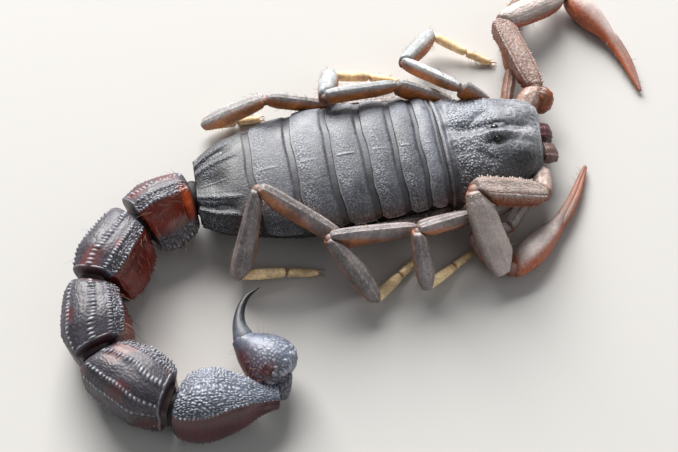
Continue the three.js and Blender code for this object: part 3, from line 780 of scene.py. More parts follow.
def tail_relief(number, length, girth):
    """The relief of one tail segment.

    Five pairs of toothed keels run along it, or two on the last segment, the
    uppermost flaring outwards in the middle. Fine grains fill the strip below
    that keel, the strips between the others are smooth in patches, and the
    upper face is hollowed and without grains. The grainy sides are paler, most
    on the last segment, and more where they face upwards as a painted sheen.
    The first segment's upper face gets an orange painted highlight near its
    top crest and on its front ridge, and on its floor side it keeps the darker
    side colour instead of its red, as painted shade.
    """
    last = number == 5
    keels = [(52, 3.8, 0.3, 0.5, -0.3 if last else 0.6, 0.75)]
    if last:
        keels += [(-34, 3.4, 0.26, 0.42, 0, 0.75)]
    else:
        keels += [(27, 3.2, 0.26, 0.44, 0.2, 0.75), (1, 2.8, 0.26, 0.46, 0.1, 0.65),
                  (-38, 3.2, 0.24, 0.42, 0.2, 0.75), (-70, 3.4, 0.14, 0.42, 0, 0.7)]
    keels += [(180 - centre, *rest) for centre, *rest in keels]
    wrap = int(2 * np.pi * girth[0] / 0.34)
    redness, taper = TAIL_REDNESS[number - 1], TAIL_TAPERS[number - 1]

    def relief(share, angle):
        """The lift and the masks at shares of the length and angles round it."""
        away = turned(angle, 90)
        drop = 20 * last * ease(0.8, 0.2, share) * ease(75, 110, np.abs(away))
        side_angle = angle - drop * np.sign(away)
        edge = 1.2 if last else 0.915 + 0.035 * bump(np.abs(away) - 42, 14)
        past = ease(edge - 0.004, edge + 0.012, share) + 0 * angle
        lift, tips = ridges(share, side_angle, length, keels, (0.02, 0.09, edge - 0.04, edge))
        tips = tips * (1 - past)
        from_top = np.abs(turned(side_angle, 90))
        # Painted shade: on the first segment the floor-side half of the upper face takes the darker side
        # colour instead of its red.
        floorward = (number == 1) * ease(-8, -22, away)
        face = ease(41, 35, from_top) * (1 - floorward)
        belly = ease(121, 127, from_top)
        crest = bump(from_top - 38, 15)
        lift = lift + (0.16 if last else 0.26) * crest * np.sin(np.pi * share) ** 0.8 * (0.6 + 0.4 * share)
        lift = lift - 0.95 * bump(from_top, 27) * ease(0.0, 0.25, share) * ease(1.02, 0.8, share)
        strip = np.maximum(ease(64, 58, from_top), float(last)) * (1 - face)
        smooth = ease(0.55, 0.75, cloud(share * 4, side_angle / 30, 12, number + 20)) * (1 - strip)
        lift = lift - taper * ease(0.62, 1, share) * bump(turned(angle, 270), 58)
        dense = (1 - face) * (1 - belly * last) * (1 - 0.8 * smooth) * (1 - past)
        small = grains(share * length / 0.36, angle / 360 * wrap, wrap, number, 0.9 if last else 0.8, 0.85)
        tiny = grains(share * length / 0.17, angle / 360 * 2 * wrap, 2 * wrap, number + 10, 0.6, 0.8)
        sown = np.maximum(small * np.maximum(strip, 0.3 + 0.25 * bump(turned(angle, 270), 50)), 0.4 * tiny)
        lift = lift + (0.15 if last else 0.11) * sown * dense
        lift = lift + 0.05 * (cloud(share * 9, angle / 24, 15, number) - 0.5)
        bead = bump(share - edge + 0.012, 0.009) * (0.45 + 0.55 * np.cos(np.radians(angle) * 70) ** 2)
        lift = (lift + 0.08 * bead * (1 - face)) * (1 - past) - 1.5 * past
        ends = ease(0.05, 0.01, share) + 0.7 * past
        fore = bump(share - 0.19, 0.022) * face * (number == 1)
        lift = lift + 0.22 * fore
        wrinkles = 0.5 + 0.5 * np.cos(share * length * 9 + 2 * cloud(share * 9, angle / 24, 15, 7))
        wine = np.maximum(0.36 * smooth * (1 - face), 0.42 * belly * (0.4 + 0.6 * wrinkles) * last)
        # Painted highlight: bright orange on the first segment's upper face near its top crest and on its
        # front ridge.
        glow = 1.2 * bump(share - 0.13, 0.07) * bump(turned(angle, 112), 24) * (number == 1) + 0.2 * fore
        # Painted sheen: the sides are paler where they face upwards.
        sky_sheen = ease(-0.2, 0.8, -np.cos(np.radians(angle)))
        # Pale grain tops: partly wear, partly a painted glint.
        worn_and_glinting = np.maximum(1.2 * tips**1.6, (1.0 if last else 0.7) * sown**1.8 * dense)
        grain = np.clip(worn_and_glinting, 0, 1) * (1 - np.clip(ends, 0, 1)) * (1 - 0.8 * face)
        hollowed = redness * face * ease(0.0, 0.1, share)
        pale = 0.85 * last * (0.4 + 0.6 * share) + 0.05
        return lift, {
            "grain": grain + 0.6 * bead * (1 - face),
            "rust": np.maximum(hollowed, np.maximum(wine, 0.3 * past)) * (1 - 0.5 * (share < 0.05)),
            "glow": np.clip(glow, 0, 1),
            "fold": np.clip(ends, 0, 1),
            "gloss": np.maximum(face, 0.6 * belly * last),
            "pale": pale * dense * (0.6 + 0.4 * strip) * (0.4 + 0.6 * sky_sheen),
        }

    return relief


def leg_relief(length, medial, seed, keel=0.06, warm=0.0, pallor=0.0):
    """The relief of a leg piece.

    A pale granular keel runs along the top, lower ones along the sides and
    below. The underside is smooth and orange, and warm lets the orange spread
    over the side that faces away from the body, most at the far end. pallor
    pales the top as a painted sheen on tops that face the lamp, and flattens
    the keels.
    """
    keel = keel * (1 - 0.6 * pallor)
    keels = [
        (74, 6, keel * 1.6, 0.26, 0, 0.6), (106, 6, keel * 1.6, 0.26, 0, 0.6),
        (270, 8, keel, 0.3, 0, 0.6), (28, 6, keel * 0.6, 0.3, 0, 0.5), (152, 6, keel * 0.6, 0.3, 0, 0.5),
    ]
    depth, low, high, inward = (0.75, -0.5, 0.35, 0.3) if warm else (1.0, -0.62, 0.15, 0.45)

    def relief(share, angle):
        """The lift and the masks at shares of the length and angles round it."""
        lift, tips = ridges(share, angle, length, keels)
        rise = np.sin(np.radians(angle))
        top = ease(0.55, 0.95, rise)
        small = grains(share * length / 0.2, angle / 360 * 30, 30, seed, 0.6)
        lift = lift + 0.022 * small * (0.3 + 0.7 * top) + 0.05 * (cloud(share * 6, angle / 45, 8, seed) - 0.5)
        inner = np.cos(np.radians(angle)) * medial
        blotch = 0.3 * (cloud(share * 4, angle / 45, 8, seed + 1) - 0.5)
        spread = warm * inner * ease(0.1, 1.0, share)
        under = depth * ease(low, high, -0.8 * rise + inward * inner + blotch - spread)
        knee = ease(0.1, 0.0, share) + ease(0.9, 1.0, share)
        knee = 0.8 * knee * ease(0.6, -0.2, rise)
        grain = tips * top + 0.5 * small * ease(0.1, 0.9, rise) + (0 if warm else 0.3) * top
        return lift, {
            "grain": np.clip(grain, 0, 1),
            "under": under,
            "knee": knee,
            # Painted sheen: pallor pales the top.
            "pale": pallor * ease(-0.1, 0.45, rise + 0.2 * blotch) + 0 * share,
        }

    return relief


def knuckle(centre, radius):
    """A soft joint: a ball whose upper part has the shell's colour and whose lower part is red-brown."""
    shape = ball(centre, np.full(3, radius), (16, 22))
    rise = (shape.points[:, 2] - centre[2]) / radius
    shape.values = {"knee": 0.85 * ease(0.95, 0.3, rise), "under": 0.2 + 0 * rise, "gloss": -0.8 + 0 * rise}
    return shape


# ------------------------------------------------------------------ the trunk


def trunk_section(x, lean, scale=1.0):
    """Points over the trunk's back: half width times the sine and rise times the cosine of lean."""
    wide = curve(TRUNK_HALF_WIDTH, x) * scale
    rise = (curve(TRUNK_TOP, x) - TRUNK_EDGE) * scale
    s, c = np.sin(np.radians(lean)), np.cos(np.radians(lean))
    y = curve(TRUNK_DRIFT, x) + wide * np.sign(s) * np.abs(s) ** 0.85
    z = TRUNK_EDGE + rise * np.sign(c) * np.abs(c) ** 0.85
    return np.stack(np.broadcast_arrays(x, y, z), -1)


def grid_normals(points):
    """The outward direction at each point of a grid: across both of its steps, and upwards at its middle."""
    across = np.gradient(points, axis=1)
    along = np.gradient(points, axis=0)
    out = unit(np.cross(along, across))
    middle = out[out.shape[0] // 2, out.shape[1] // 2]
    return out if middle[2] > 0 else -out


def tergite(number, front, length):
    """One back plate.

    An arched sheet from edge to edge of the trunk, in depth d from its front
    margin. A smooth low band comes first, then a soft step up to the body of
    the plate, which is arched again from front to rear. Grains thicken towards
    the rear and the sides, a thin bead runs round the rear and side margins,
    and a short keel marks the middle. The margins wander a little and run
    forward at the sides. The colour holds painted light: a painted highlight
    pales the left side of the first five plates, which faces the lamp, and most
    of the first plate; painted shade darkens the right side, turned from the
    lamp, the front edge under the plate before, and on the last plate its
    hollows and the whole plate.
    """
    rows, columns = max(12, int(length / 0.064 * DENSITY)), int(350 * DENSITY)
    v = np.linspace(0, 1, rows)[:, None]
    u = np.linspace(-1, 1, columns)[None, :]
    wide = float(curve(TRUNK_HALF_WIDTH, front - length / 2))
    d, left = v * length, (1 - v) * length
    inward = (1 - np.abs(u)) * 1.7 * wide
    corner = 1 - 0.07 * ease(0.9, 0.0, left) ** 2 - 0.06 * ease(0.9, 0.0, d) ** 2
    lean = u * (76 if number < 6 else 80) * corner + LEAN_SHIFT
    margins = [
        TERGITE_BOWS[k] * u**2 + 0.3 * (cloud(u * 4.5, k + 0 * u, 0, 9) - 0.5)
        for k in (number - 1, number)
    ]
    x = front - 0.05 - d * (1 + 0.12 / length) + (1 - v) * margins[0] + v * margins[1]
    top = trunk_section(x, lean)
    out = grid_normals(top)
    band = min(0.95, 0.2 * length + 0.15)
    body = ease(band - 0.25, band + 0.15, d)
    rear = bump(left - 0.1, 0.06) * (0.5 + 0.5 * cloud(u * 30, number + 0 * u, 0, 15))
    sides = bump(inward - 0.14, 0.09)
    near = ease(0.25, -0.5, u)
    arch = np.sin(np.pi * np.clip((d - band + 0.2) / (length - band + 0.2), 0, 1)) ** 0.8
    coarse = ease(0.2, 0.8, cloud(x * 0.7, u * 7, 0, 8))
    small = np.maximum(grains(x / 0.24, u * 48, 0, number, 0.8, 0.75),
                       0.6 * grains(x / 0.14, u * 80, 0, number + 30, 0.6, 0.75))
    rearward = ease(0.3 * length, 0.85 * length, d)
    thick = np.maximum(rearward, 0.6 * ease(0.5, 0.9, np.abs(u)))
    sown = body * np.maximum(thick * (0.45 + 0.55 * coarse), 0.3)
    sown = sown * ease(0.12, 0.3, left) * (1 - 0.6 * ease(0.3, 0.8, u) * (number < 6))
    keel = bump(u + 0.004, 0.007) * ease(0.35, 0.55, v) * ease(0.35, 0.6, left)
    keel = keel * (1.2 if number == 4 else 0.5)
    lift = 0.1 * body + 0.16 * arch + 0.06 * v + 0.05 * rear + 0.07 * sides
    lift = lift + 0.055 * small * sown + 0.08 * keel + 0.1 * (cloud(x * 0.6, u * 4, 0, 5) - 0.5)
    # Painted shade: the front band is darkened on the right side, turned from the lamp.
    shade = 0.55 * near * (1 - body)
    if number == 7:
        pair = bump(np.abs(u) - 0.3 + 0.08 * v, 0.035) + bump(np.abs(u) - 0.6 + 0.1 * v, 0.04)
        keels = pair * ease(0.15, 0.45, v) * ease(1.0, 0.96, v)
        hollow = bump(u, 0.15) * ease(0.3, 0.7, v) + 0.9 * bump(np.abs(u) - 0.43, 0.07) * ease(0.25, 0.6, v)
        lift = lift + 0.2 * keels * (0.6 + 0.4 * small) - 0.32 * hollow
        sown = np.maximum(sown * (1 - 0.5 * hollow), keels)
        # Painted shade on the last plate: its hollows, its right edge and the whole plate are darkened.
        shade = shade + 0.6 * hollow + 0.7 * ease(-0.6, -0.7, u) + 0.35
        shade = shade + 0.35 * ease(0.1, 0.5, v) * (1 - keels)
    # A darker tone of its own on the front band and the grainy parts; on the right side and the last plate it
    # is painted shade.
    bare = 0.25 * (1 - body) + 0.35 * sown * (number > 1) + 0.5 * ease(0.2, -0.9, u) + 0.7 * (number == 7)
    values = {
        "grain": np.clip(1.15 * small**1.4 * sown + 0.5 * keel, 0, 1),
        "rim": np.clip(rear * (0.15 + 0.55 * near) + 0.6 * sides + 0.2 * keel, 0, 1),
        "bare": np.clip(bare, 0, 1),
        # Painted highlight: the left side of the first five plates, facing the lamp, and most of the first
        # plate are paled.
        "pale": np.maximum(0.7 * ease(-0.1, 0.8, u) * (number < 6), 0.6 * ease(-0.5, 0.1, u) * (number < 2))
        * (0.4 + 0.6 * body),
        # Painted shade: the front edge under the plate before and the right edge are darkened, with the shade
        # worked out above.
        "fold": np.clip(shade + 0.75 * ease(0.16, 0.0, d) + 0.45 * ease(-0.55, -0.95, u), 0, 1),
        "gloss": 0.2 * (1 - sown),
    }
    top = top + out * lift[..., None]
    return plate(top, top - out * 0.22, values)


def trunk_core():
    """The soft body under the plates: rounded rings from neck to tail, with folds at its sides."""
    rows, columns = int(160 * DENSITY), int(100 * DENSITY)
    x = np.linspace(0.4, -28.5, rows)[:, None]
    angle = np.linspace(0, 360, columns, endpoint=False)[None, :]
    c, s = np.cos(np.radians(angle)), np.sin(np.radians(angle))
    wide, drift = curve(TRUNK_HALF_WIDTH, x) - 0.3 + 0.4 * bump(x + 18, 6), curve(TRUNK_DRIFT, x)
    top, low = curve(TRUNK_TOP, x) - 0.4, curve(TRUNK_BOTTOM, x)
    power = np.where(s > 0, 0.85, 1.25)
    folds = 0.0
    for flank, seed in ((0, 2), (180, 3)):
        waves = 0.05 * np.sin(x * 9 + 3 * cloud(x * 1.5, angle / 24, 15, seed))
        folds = folds + waves * bump(turned(angle, flank), 30)
    y = drift + (wide + folds) * np.sign(c) * np.abs(c) ** power
    z = TRUNK_EDGE + np.where(s > 0, top - TRUNK_EDGE, TRUNK_EDGE - low) * np.sign(s) * np.abs(s) ** power
    points = np.stack(np.broadcast_arrays(x, y, np.maximum(z, 0)), -1)
    side = bump(turned(angle, 0), 40) + bump(turned(angle, 180), 40)
    flat = 0 * points[..., 0]
    values = {"fold": 0.85 + flat, "bare": side + flat, "gloss": 0.2 + flat}
    tips = [points[0].mean(0), points[-1].mean(0)]
    return rolled(points, tips, values)


def sternite(number, front, length):
    """One belly plate: the flat underside and the lower flanks of a trunk ring, with a rear bead."""
    rows, columns = max(10, int(length / 0.15 * DENSITY)), int(120 * DENSITY)
    v = np.linspace(0, 1, rows)[:, None]
    u = np.linspace(-1, 1, columns)[None, :]
    angle = 270 + 52 * u
    x = front - 0.1 - v * (length - 0.1) + 0 * u
    c, s = np.cos(np.radians(angle)), np.sin(np.radians(angle))
    low = np.maximum(curve(TRUNK_BOTTOM, x), 0)
    y = curve(TRUNK_DRIFT, x) + curve(TRUNK_HALF_WIDTH, x) * np.sign(c) * np.abs(c) ** 1.1
    z = TRUNK_EDGE + (TRUNK_EDGE - low) * np.sign(s) * np.abs(s) ** 1.1
    top = np.stack(np.broadcast_arrays(x, y, z), -1)
    out = -grid_normals(top)
    rear = bump(v - 0.96, 0.03)
    slit = bump(np.abs(u) - 0.52, 0.05) * bump(v - 0.55, 0.06) * (3 <= number <= 6)
    lift = 0.1 * rear - 0.12 * slit
    top = top + out * lift[..., None]
    top[..., 2] = np.maximum(top[..., 2], 0)
    under = top - out * 0.2
    values = {"rim": 0.3 * rear, "bare": 0.8 + 0 * x, "fold": np.maximum(slit, 0.5), "gloss": 0.6 + 0 * x}
    return plate(top, under, values)


def carapace_relief(x, y, wide):
    """Lift and masks over the head shield, from bells and ramps in x and y.

    A pale ridge runs along the middle line and swells between the eyes, which
    look out of pits on its sides. In front of them a furrow follows it on
    either side, and behind them a broad hollow. Two lobes bulge behind the
    front margin, coarse grains cover the rear sides, and a bead follows the
    rear, side and front margins. Painted shade darkens the pits, recesses,
    furrows, hollow and arc and the right side, turned from the lamp; a painted
    highlight pales the left side. The front is paled too, partly as a pale
    dusting and partly as a painted sheen, as it is left off the right side.
    """
    y = y + MIDLINE_SHIFT
    away = np.abs(y)
    breadth = 0.4 + 0.5 * ease(8.0, 11.4, x) + 1.0 * ease(0.0, -0.5, y) * ease(6.2, 4.6, x)
    ridge = bump(y + 0.2, breadth) * ease(0.5, 1.8, x) * ease(12.1, 10.8, x)
    mound = bump(x - 6.3, 1.5) * bump(y, 0.85)
    pit = bump(x - 6.7, 0.75) * bump(away - 1.05, 0.36)
    recess = bump(x - 6.4, 1.2) * bump(away - 1.1, 0.42)
    furrow = bump(away - 1.0, 0.34) * ease(6.9, 7.9, x) * ease(11.3, 9.9, x)
    hollow = bump(away - 1.2 - 0.12 * (4 - x), 0.6) * bump(x - 3.1, 1.75)
    furrow, hollow = furrow * (0.2 + 0.8 * ease(-0.3, 0.3, y)), hollow * (0.1 + 0.9 * ease(-0.3, 0.3, y))
    arc = bump(np.hypot(x - 6.4, away - 0.6) - 2.6, 0.45) * ease(6.8, 5.2, x) * ease(1.4, 2.2, away)
    lobes = bump(x - 9.5, 1.7) * bump(away - 2.9, 1.6)
    rear = bump(x - 0.4, 0.15)
    side = bump(away / wide - 0.985, 0.018)
    front = bump(x - 11.95, 0.13)
    swell = bump(x - 3.6, 1.8) * bump(away - 3.3, 1.5)
    # The right side, turned from the lamp; the masks below darken it and thin its pale grains as painted
    # shade.
    near = ease(-0.8, -3.0, y)
    lift = (0.28 + 0.12 * cloud(x * 2, y * 3, 0, 17)) * ridge + 0.26 * mound - 0.75 * pit - 0.42 * recess
    lift = lift - 0.2 * furrow - 0.45 * hollow - 0.25 * arc
    lift = lift + 0.6 * lobes + 0.28 * swell + 0.1 * rear + 0.1 * side + 0.1 * front
    lift = lift - 0.16 * bump(x - 0.95, 0.3)
    coarse = ease(7.3, 5.8, x) * ease(1.1, 1.8, x) * ease(0.3, 0.9, away) * (1 - 0.7 * arc)
    collar = 0.8 * ease(1.5, 1.0, x) * ease(0.5, 0.8, x)
    bald = np.clip(0.8 * lobes * ease(1.6, 2.6, away) + recess + pit + collar, 0, 1)
    large = grains(x / 0.36, y / 0.36, 0, 12, 0.8, 0.75)
    small = np.maximum(grains(x / 0.21, y / 0.21, 0, 11, 0.8, 0.8),
                       0.6 * grains(x / 0.13, y / 0.13, 0, 16, 0.6, 0.8))
    sown = (1 - 0.9 * bald) * (0.55 + 0.45 * np.maximum(ridge, coarse))
    sown = np.maximum(sown, 0.55 * ease(7.4, 8.6, x) * (1 - near) * (1 - recess))
    lift = lift + 0.045 * small * sown + 0.1 * large * coarse
    lift = lift + 0.12 * (cloud(x * 1.1, y * 1.1, 0, 13) - 0.5)
    lift = lift + 0.09 * (cloud(x * 3.2, y * 3.2, 0, 19) - 0.5) * ease(7, 9, x)
    creases = bump(np.sin(y * 6 + x + 2.5 * cloud(x * 1.2, y * 1.2, 0, 14)), 0.3) * lobes
    lift = lift - 0.035 * creases
    # The front is paled, partly as a pale dusting and partly as a painted sheen, as it is left off the right
    # side.
    dust_and_sheen = 0.55 * ease(7.6, 9.2, x) * (1 - near) * (0.5 + 0.5 * cloud(x * 2.5, y * 2.5, 0, 18))
    values = {
        "grain": np.clip(np.maximum(small**1.3 * sown, 1.1 * large * coarse), 0, 1) * (1 - 0.45 * near),
        # Painted shade: the lobes, arc, hollow and right side are darkened.
        "bare": np.clip(0.6 * lobes * near + 0.5 * arc + 0.3 * hollow + 0.6 * near, 0, 1) * (1 - 0.6 * ridge),
        # Painted highlight: the left side, facing the lamp, is paled, and so is the front.
        "pale": np.clip(0.5 * ease(0.0, 3.0, y) + 0.5 * ease(7.5, 9.5, x), 0, 1) * (1 - near),
        "rim": np.clip(0.4 * rear + 0.5 * side + 0.55 * front + 0.55 * ridge * (0.3 + 0.7 * small)
                       + dust_and_sheen, 0, 1),
        # Painted shade: the hollow, eye pits, recesses, furrows and right side are darkened.
        "fold": np.clip(0.5 * hollow + 1.1 * pit + 1.5 * recess + 0.5 * furrow + 0.35 * near * lobes
                        + 0.65 * near, 0, 1) * (1 - 0.7 * mound * (away < 0.6)),
        "gloss": 0.4 * bald * (1 - recess) - 0.8 * recess,
    }
    return lift, values


def carapace():
    """The head shield: an arched sheet that rolls down at the front margin, lifted by its relief.

    It is sheared so that its front turns to the left.
    """
    rows, columns = int(220 * DENSITY), int(350 * DENSITY)
    v = np.linspace(0, 1, rows)[:, None]
    u = np.linspace(-1, 1, columns)[None, :]
    flat = np.clip(v / 0.93, 0, 1)
    down = ease(0.93, 1.0, v)
    x = GAP / 2 + flat * (CARAPACE_FRONT - GAP / 2) + 0.1 * np.sin(np.pi * down)
    x = x - 0.3 * ease(11, 12.2, x) * bump(u, 0.1)
    table = x * CARAPACE_LENGTH / CARAPACE_FRONT
    narrow = 1 - 0.1 * ease(8.5, 12.2, x) * (u < 0)
    wide, rise = curve(CARAPACE_HALF_WIDTH, table), curve(CARAPACE_TOP, table) - CARAPACE_EDGE
    s, c = np.sin(np.radians(u * 90)), np.cos(np.radians(u * 90))
    y = wide * narrow * np.sign(s) * np.abs(s) ** 0.92
    z = CARAPACE_EDGE + rise * np.abs(c) ** 1.05 * (1 - 0.8 * down)
    top = np.stack(np.broadcast_arrays(x + HEAD_TURN * y * ease(3.0, 12.0, x), y, z), -1)
    out = grid_normals(top)
    lift, values = carapace_relief(x, y, wide)
    fade = (1 - down) * ease(0, 0.12, c)
    top = top + out * (lift * fade)[..., None]
    under = top - out * 0.25
    values = {name: v * (1 - 0.5 * down) for name, v in values.items()}
    return plate(top, under, values)


# ------------------------------------------------------------------ operators


def report_built(operator, what):
    """Says what was made and ends an operator's run."""
    operator.report({"INFO"}, f"{what} built")
    return {"FINISHED"}


def shell_colour(name, description, red, green, blue):
    """A colour setting whose default is given in display values of 0 to 255."""
    return bpy.props.FloatVectorProperty(
        name=name, description=description, subtype="COLOR",
        default=linear(red, green, blue)[:3], min=0, max=1)


class ScorpionColours(bpy.types.PropertyGroup):
    """Colours of the shell."""

    back: shell_colour("Back", "Colour of the carapace and back plates", 68, 69, 77)
    tail: shell_colour("Tail", "Colour of the tail's sides", 46, 38, 48)
    rust: shell_colour("Rust", "Colour of the tail's hollowed upper faces", 120, 34, 18)
    # Pale colour of the grains' tops: partly wear, partly a painted glint.
    bloom_and_glint: shell_colour("BloomAndGlint", "Pale colour of worn grains", 182, 187, 197)
    leg: shell_colour("Legs", "Colour of the legs' outer faces", 130, 121, 121)
    claw: shell_colour("Pedipalps", "Colour of the pedipalps' upper faces", 128, 112, 105)
    orange: shell_colour("Orange", "Colour of the legs' undersides", 178, 106, 52)
    foot: shell_colour("Feet", "Colour of the feet", 244, 216, 168)


class ScorpionBristles(bpy.types.PropertyGroup):
    """Bristles."""

    amount: bpy.props.FloatProperty(
        name="Amount", description="Share of the full number of bristles", default=1.0, min=0.05, max=3)
    width: bpy.props.FloatProperty(
        name="Width", description="Width of a bristle at its root", default=0.000045, min=0.00001,
        max=0.001, precision=5, unit="LENGTH")


class ScorpionStage(bpy.types.PropertyGroup):
    """Camera and light."""

    lens: bpy.props.FloatProperty(
        name="Lens", description="Focal length of the camera", default=70.0, min=10, unit="CAMERA")
    distance: bpy.props.FloatProperty(
        name="Distance", description="From the camera to the point it looks at",
        default=0.15512, min=0.01, unit="LENGTH")
    azimuth: bpy.props.FloatProperty(
        name="Azimuth", description="The camera's turn about the upright axis",
        default=math.radians(-10), unit="ROTATION")
    elevation: bpy.props.FloatProperty(
        name="Elevation", description="The camera's height above the horizon",
        default=math.radians(60), unit="ROTATION")
    lamp: bpy.props.FloatProperty(
        name="Lamp", description="Strength of the main lamp", default=1.0, min=0)


class SCORPION_OT_trunk(bpy.types.Operator):
    """Builds the soft trunk with its seven back plates and five belly plates"""

    bl_idname = "scorpion.trunk"
    bl_label = "Trunk"

    def execute(self, context):
        shell = materials()["Back shell"]
        put("trunk_core", trunk_core(), shell)
        front = 0.0
        for number, length in enumerate(TERGITE_LENGTHS, 1):
            put(f"tergite_{number}", tergite(number, front, length), shell, [f"mesosoma_{number}"])
            if number > 2:
                put(f"sternite_{number}", sternite(number, front, length), shell)
            front -= length
        return report_built(self, "Trunk")


class SCORPION_OT_head(bpy.types.Operator):
    """Builds the carapace and the median eyes"""

    bl_idname = "scorpion.head"
    bl_label = "Head"

    def execute(self, context):
        put("carapace", carapace(), materials()["Back shell"], ["carapace"])
        for side in SIDES:
            low, high = box_of(f"eye_{side}")
            eye = ball((low + high) / 2, (high - low) / 2, (24, 32))
            put(f"eye_{side}", eye, materials()["Eye lens"], [f"eye_{side}"])
        return report_built(self, "Head")


class SCORPION_OT_tail(bpy.types.Operator):
    """Builds the five tail segments, the vesicle and the sting"""

    bl_idname = "scorpion.tail"
    bl_label = "Tail"

    def execute(self, context):
        names = [f"metasoma_{k}" for k in range(1, 6)]
        joints = joints_of(names)
        steps = [unit(b - a) for a, b in zip(joints, joints[1:])]
        for k, name in enumerate(names):
            length = float(np.linalg.norm(joints[k + 1] - joints[k]))
            roll = math.radians(TAIL_ROLLS[k])
            dorsal = math.cos(roll) * unit(np.cross(UP, steps[k])) + math.sin(roll) * UP
            girth = TAIL_GIRTHS[k]
            end = joints[k + 1] - (0.6 * steps[k] if k == 4 else 0)
            rows = LAST_TAIL_ROWS if k == 4 else TAIL_ROWS
            shape = limb_piece(
                [joints[k], end], dorsal, girth, rows, tail_relief(k + 1, length, girth),
                before=steps[k - 1] if k else np.array([-1.0, 0, 0]),
                after=steps[k + 1] if k < 4 else None,
                steps=(int(length / 0.065), 330), caps=(0.045, 0.02), squareness=0.76,
            )
            put(name, shape, materials()["Tail shell"], [name])
        for k in range(5):
            size = np.array([1.7, 1.7, 2.2]) if k else np.array([1.4, 2.1, 1.9])
            core = ball(joints[k], size, (20, 28), {"dark": 1.0, "gloss": -1.0})
            put(f"tail_joint_{k + 1}", core, materials()["Joint skin"])
        self.telson(joints[5] - 0.9 * steps[4])
        return report_built(self, "Tail")

    def telson(self, neck_end):
        """The vesicle, a bulb with tubercles, and the curved sting with a fine tip."""
        start, end = sorted(ends_of("vesicle"), key=lambda place: np.linalg.norm(place - neck_end))
        base, tip = sorted(ends_of("sting"), key=lambda place: np.linalg.norm(place - end))
        line = self.sting_line(np.unique(np.round(corners_of("sting") - ORIGIN, 3), axis=0), base, tip)
        axis = unit(end - start)
        length = float(np.linalg.norm(end - start))

        def relief(share, angle):
            """The bulb's lift and masks: grains, tubercles at its root, a dark side, and a paler upward side
            as a painted sheen.
            """
            small = grains(share * length / 0.3, angle / 360 * 50, 50, 31, 0.85, 0.8)
            big = grains(share * length / 0.62, angle / 360 * 24, 24, 32, 0.6, 0.8) * ease(0.4, 0.14, share)
            sown = ease(0.85, 0.45, share)
            lift = 0.05 * small * sown + 0.2 * big
            patch = bump(share - 0.24, 0.09) * bump(turned(angle, 148), 18)
            outer = bump(turned(angle, 96), 44) * ease(0.1, 0.3, share) * ease(0.9, 0.7, share)
            dark = np.clip(0.95 * patch + 0.85 * outer, 0, 1)
            # Painted sheen: the side that faces upwards is paler.
            pale = 0.15 + 0.7 * bump(turned(angle, 205), 60) + 0.2 * ease(0.7, 1.0, share)
            return lift, {
                "grain": np.clip(0.7 * small**1.5 * sown + 0.8 * big, 0, 1) * (1 - 0.85 * dark),
                "rust": 0.6 * dark,
                "gloss": np.clip(0.3 * (1 - sown) + 0.6 * patch, 0, 1),
                "pale": pale * (1 - dark),
            }

        bulb = limb_piece(
            [start - 0.3 * axis, end + 0.45 * axis], np.cross(UP, axis), (2.65, 2.85), VESICLE_ROWS, relief,
            after=unit(line[6] - line[0]), steps=(110, 240), caps=(0.05, 0.01), squareness=1.0,
        )
        put("vesicle", bulb, materials()["Tail shell"], ["vesicle"])

        def neck_relief(share, angle):
            """Fine grains on a folded skin."""
            small = grains(share * 8, angle / 360 * 20, 20, 33, 0.9, 0.8)
            return 0.06 * small, {"grain": 0.6 * small, "pale": 0.2 + 0 * small, "fold": 0.3 + 0 * small}

        stalk = [neck_end, (neck_end + start) / 2, start + 0.5 * axis]
        neck = limb_piece(stalk, UP, (1.05, 1.15), ((0, 0.9), (0.5, 0.95), (1, 1)), neck_relief,
                          steps=(40, 60), caps=(0.2, 0.1), squareness=0.9)
        put("vesicle_joint", neck, materials()["Tail shell"])

        def sting_relief(share, angle):
            """No lift: a granular root that turns into a dark polished tip."""
            flat = 0 * share * angle
            return flat, {"rust": ease(0.2, 0.75, share) + flat, "grain": 0.5 * ease(0.35, 0.0, share) + flat,
                          "gloss": 0.5 * ease(0.3, 0.8, share) + flat}

        line = np.concatenate([[line[0] - 0.5 * axis], line + np.array([0.2, -0.05, 0])])
        hook = limb_piece(line, UP, (1.0, 1.0), STING_ROWS, sting_relief, steps=(100, 48),
                          caps=(0.001, 0.01), squareness=1.0)
        put("sting", hook, materials()["Sting"], ["sting"])

    def sting_line(self, corners, base, tip):
        """A smooth line through the middles of the sting's rings, which have eight corners each."""
        ring = [corners[np.argsort(np.linalg.norm(corners - base, axis=1))[1:9]].mean(0)]
        rest = corners[np.argsort(np.linalg.norm(corners - base, axis=1))[9:]]
        while len(rest) > 8:
            order = np.argsort(np.linalg.norm(rest - ring[-1], axis=1))
            ring.append(rest[order[:8]].mean(0))
            rest = rest[order[8:]]
        knots = np.array([base, *ring[1:], tip])
        reach = np.r_[0, np.cumsum(np.linalg.norm(np.diff(knots, axis=0), axis=1))]
        fine = np.linspace(0, reach[-1], 40)
        return np.stack([curve(np.c_[reach, knots[:, k]], fine) for k in range(3)], -1)


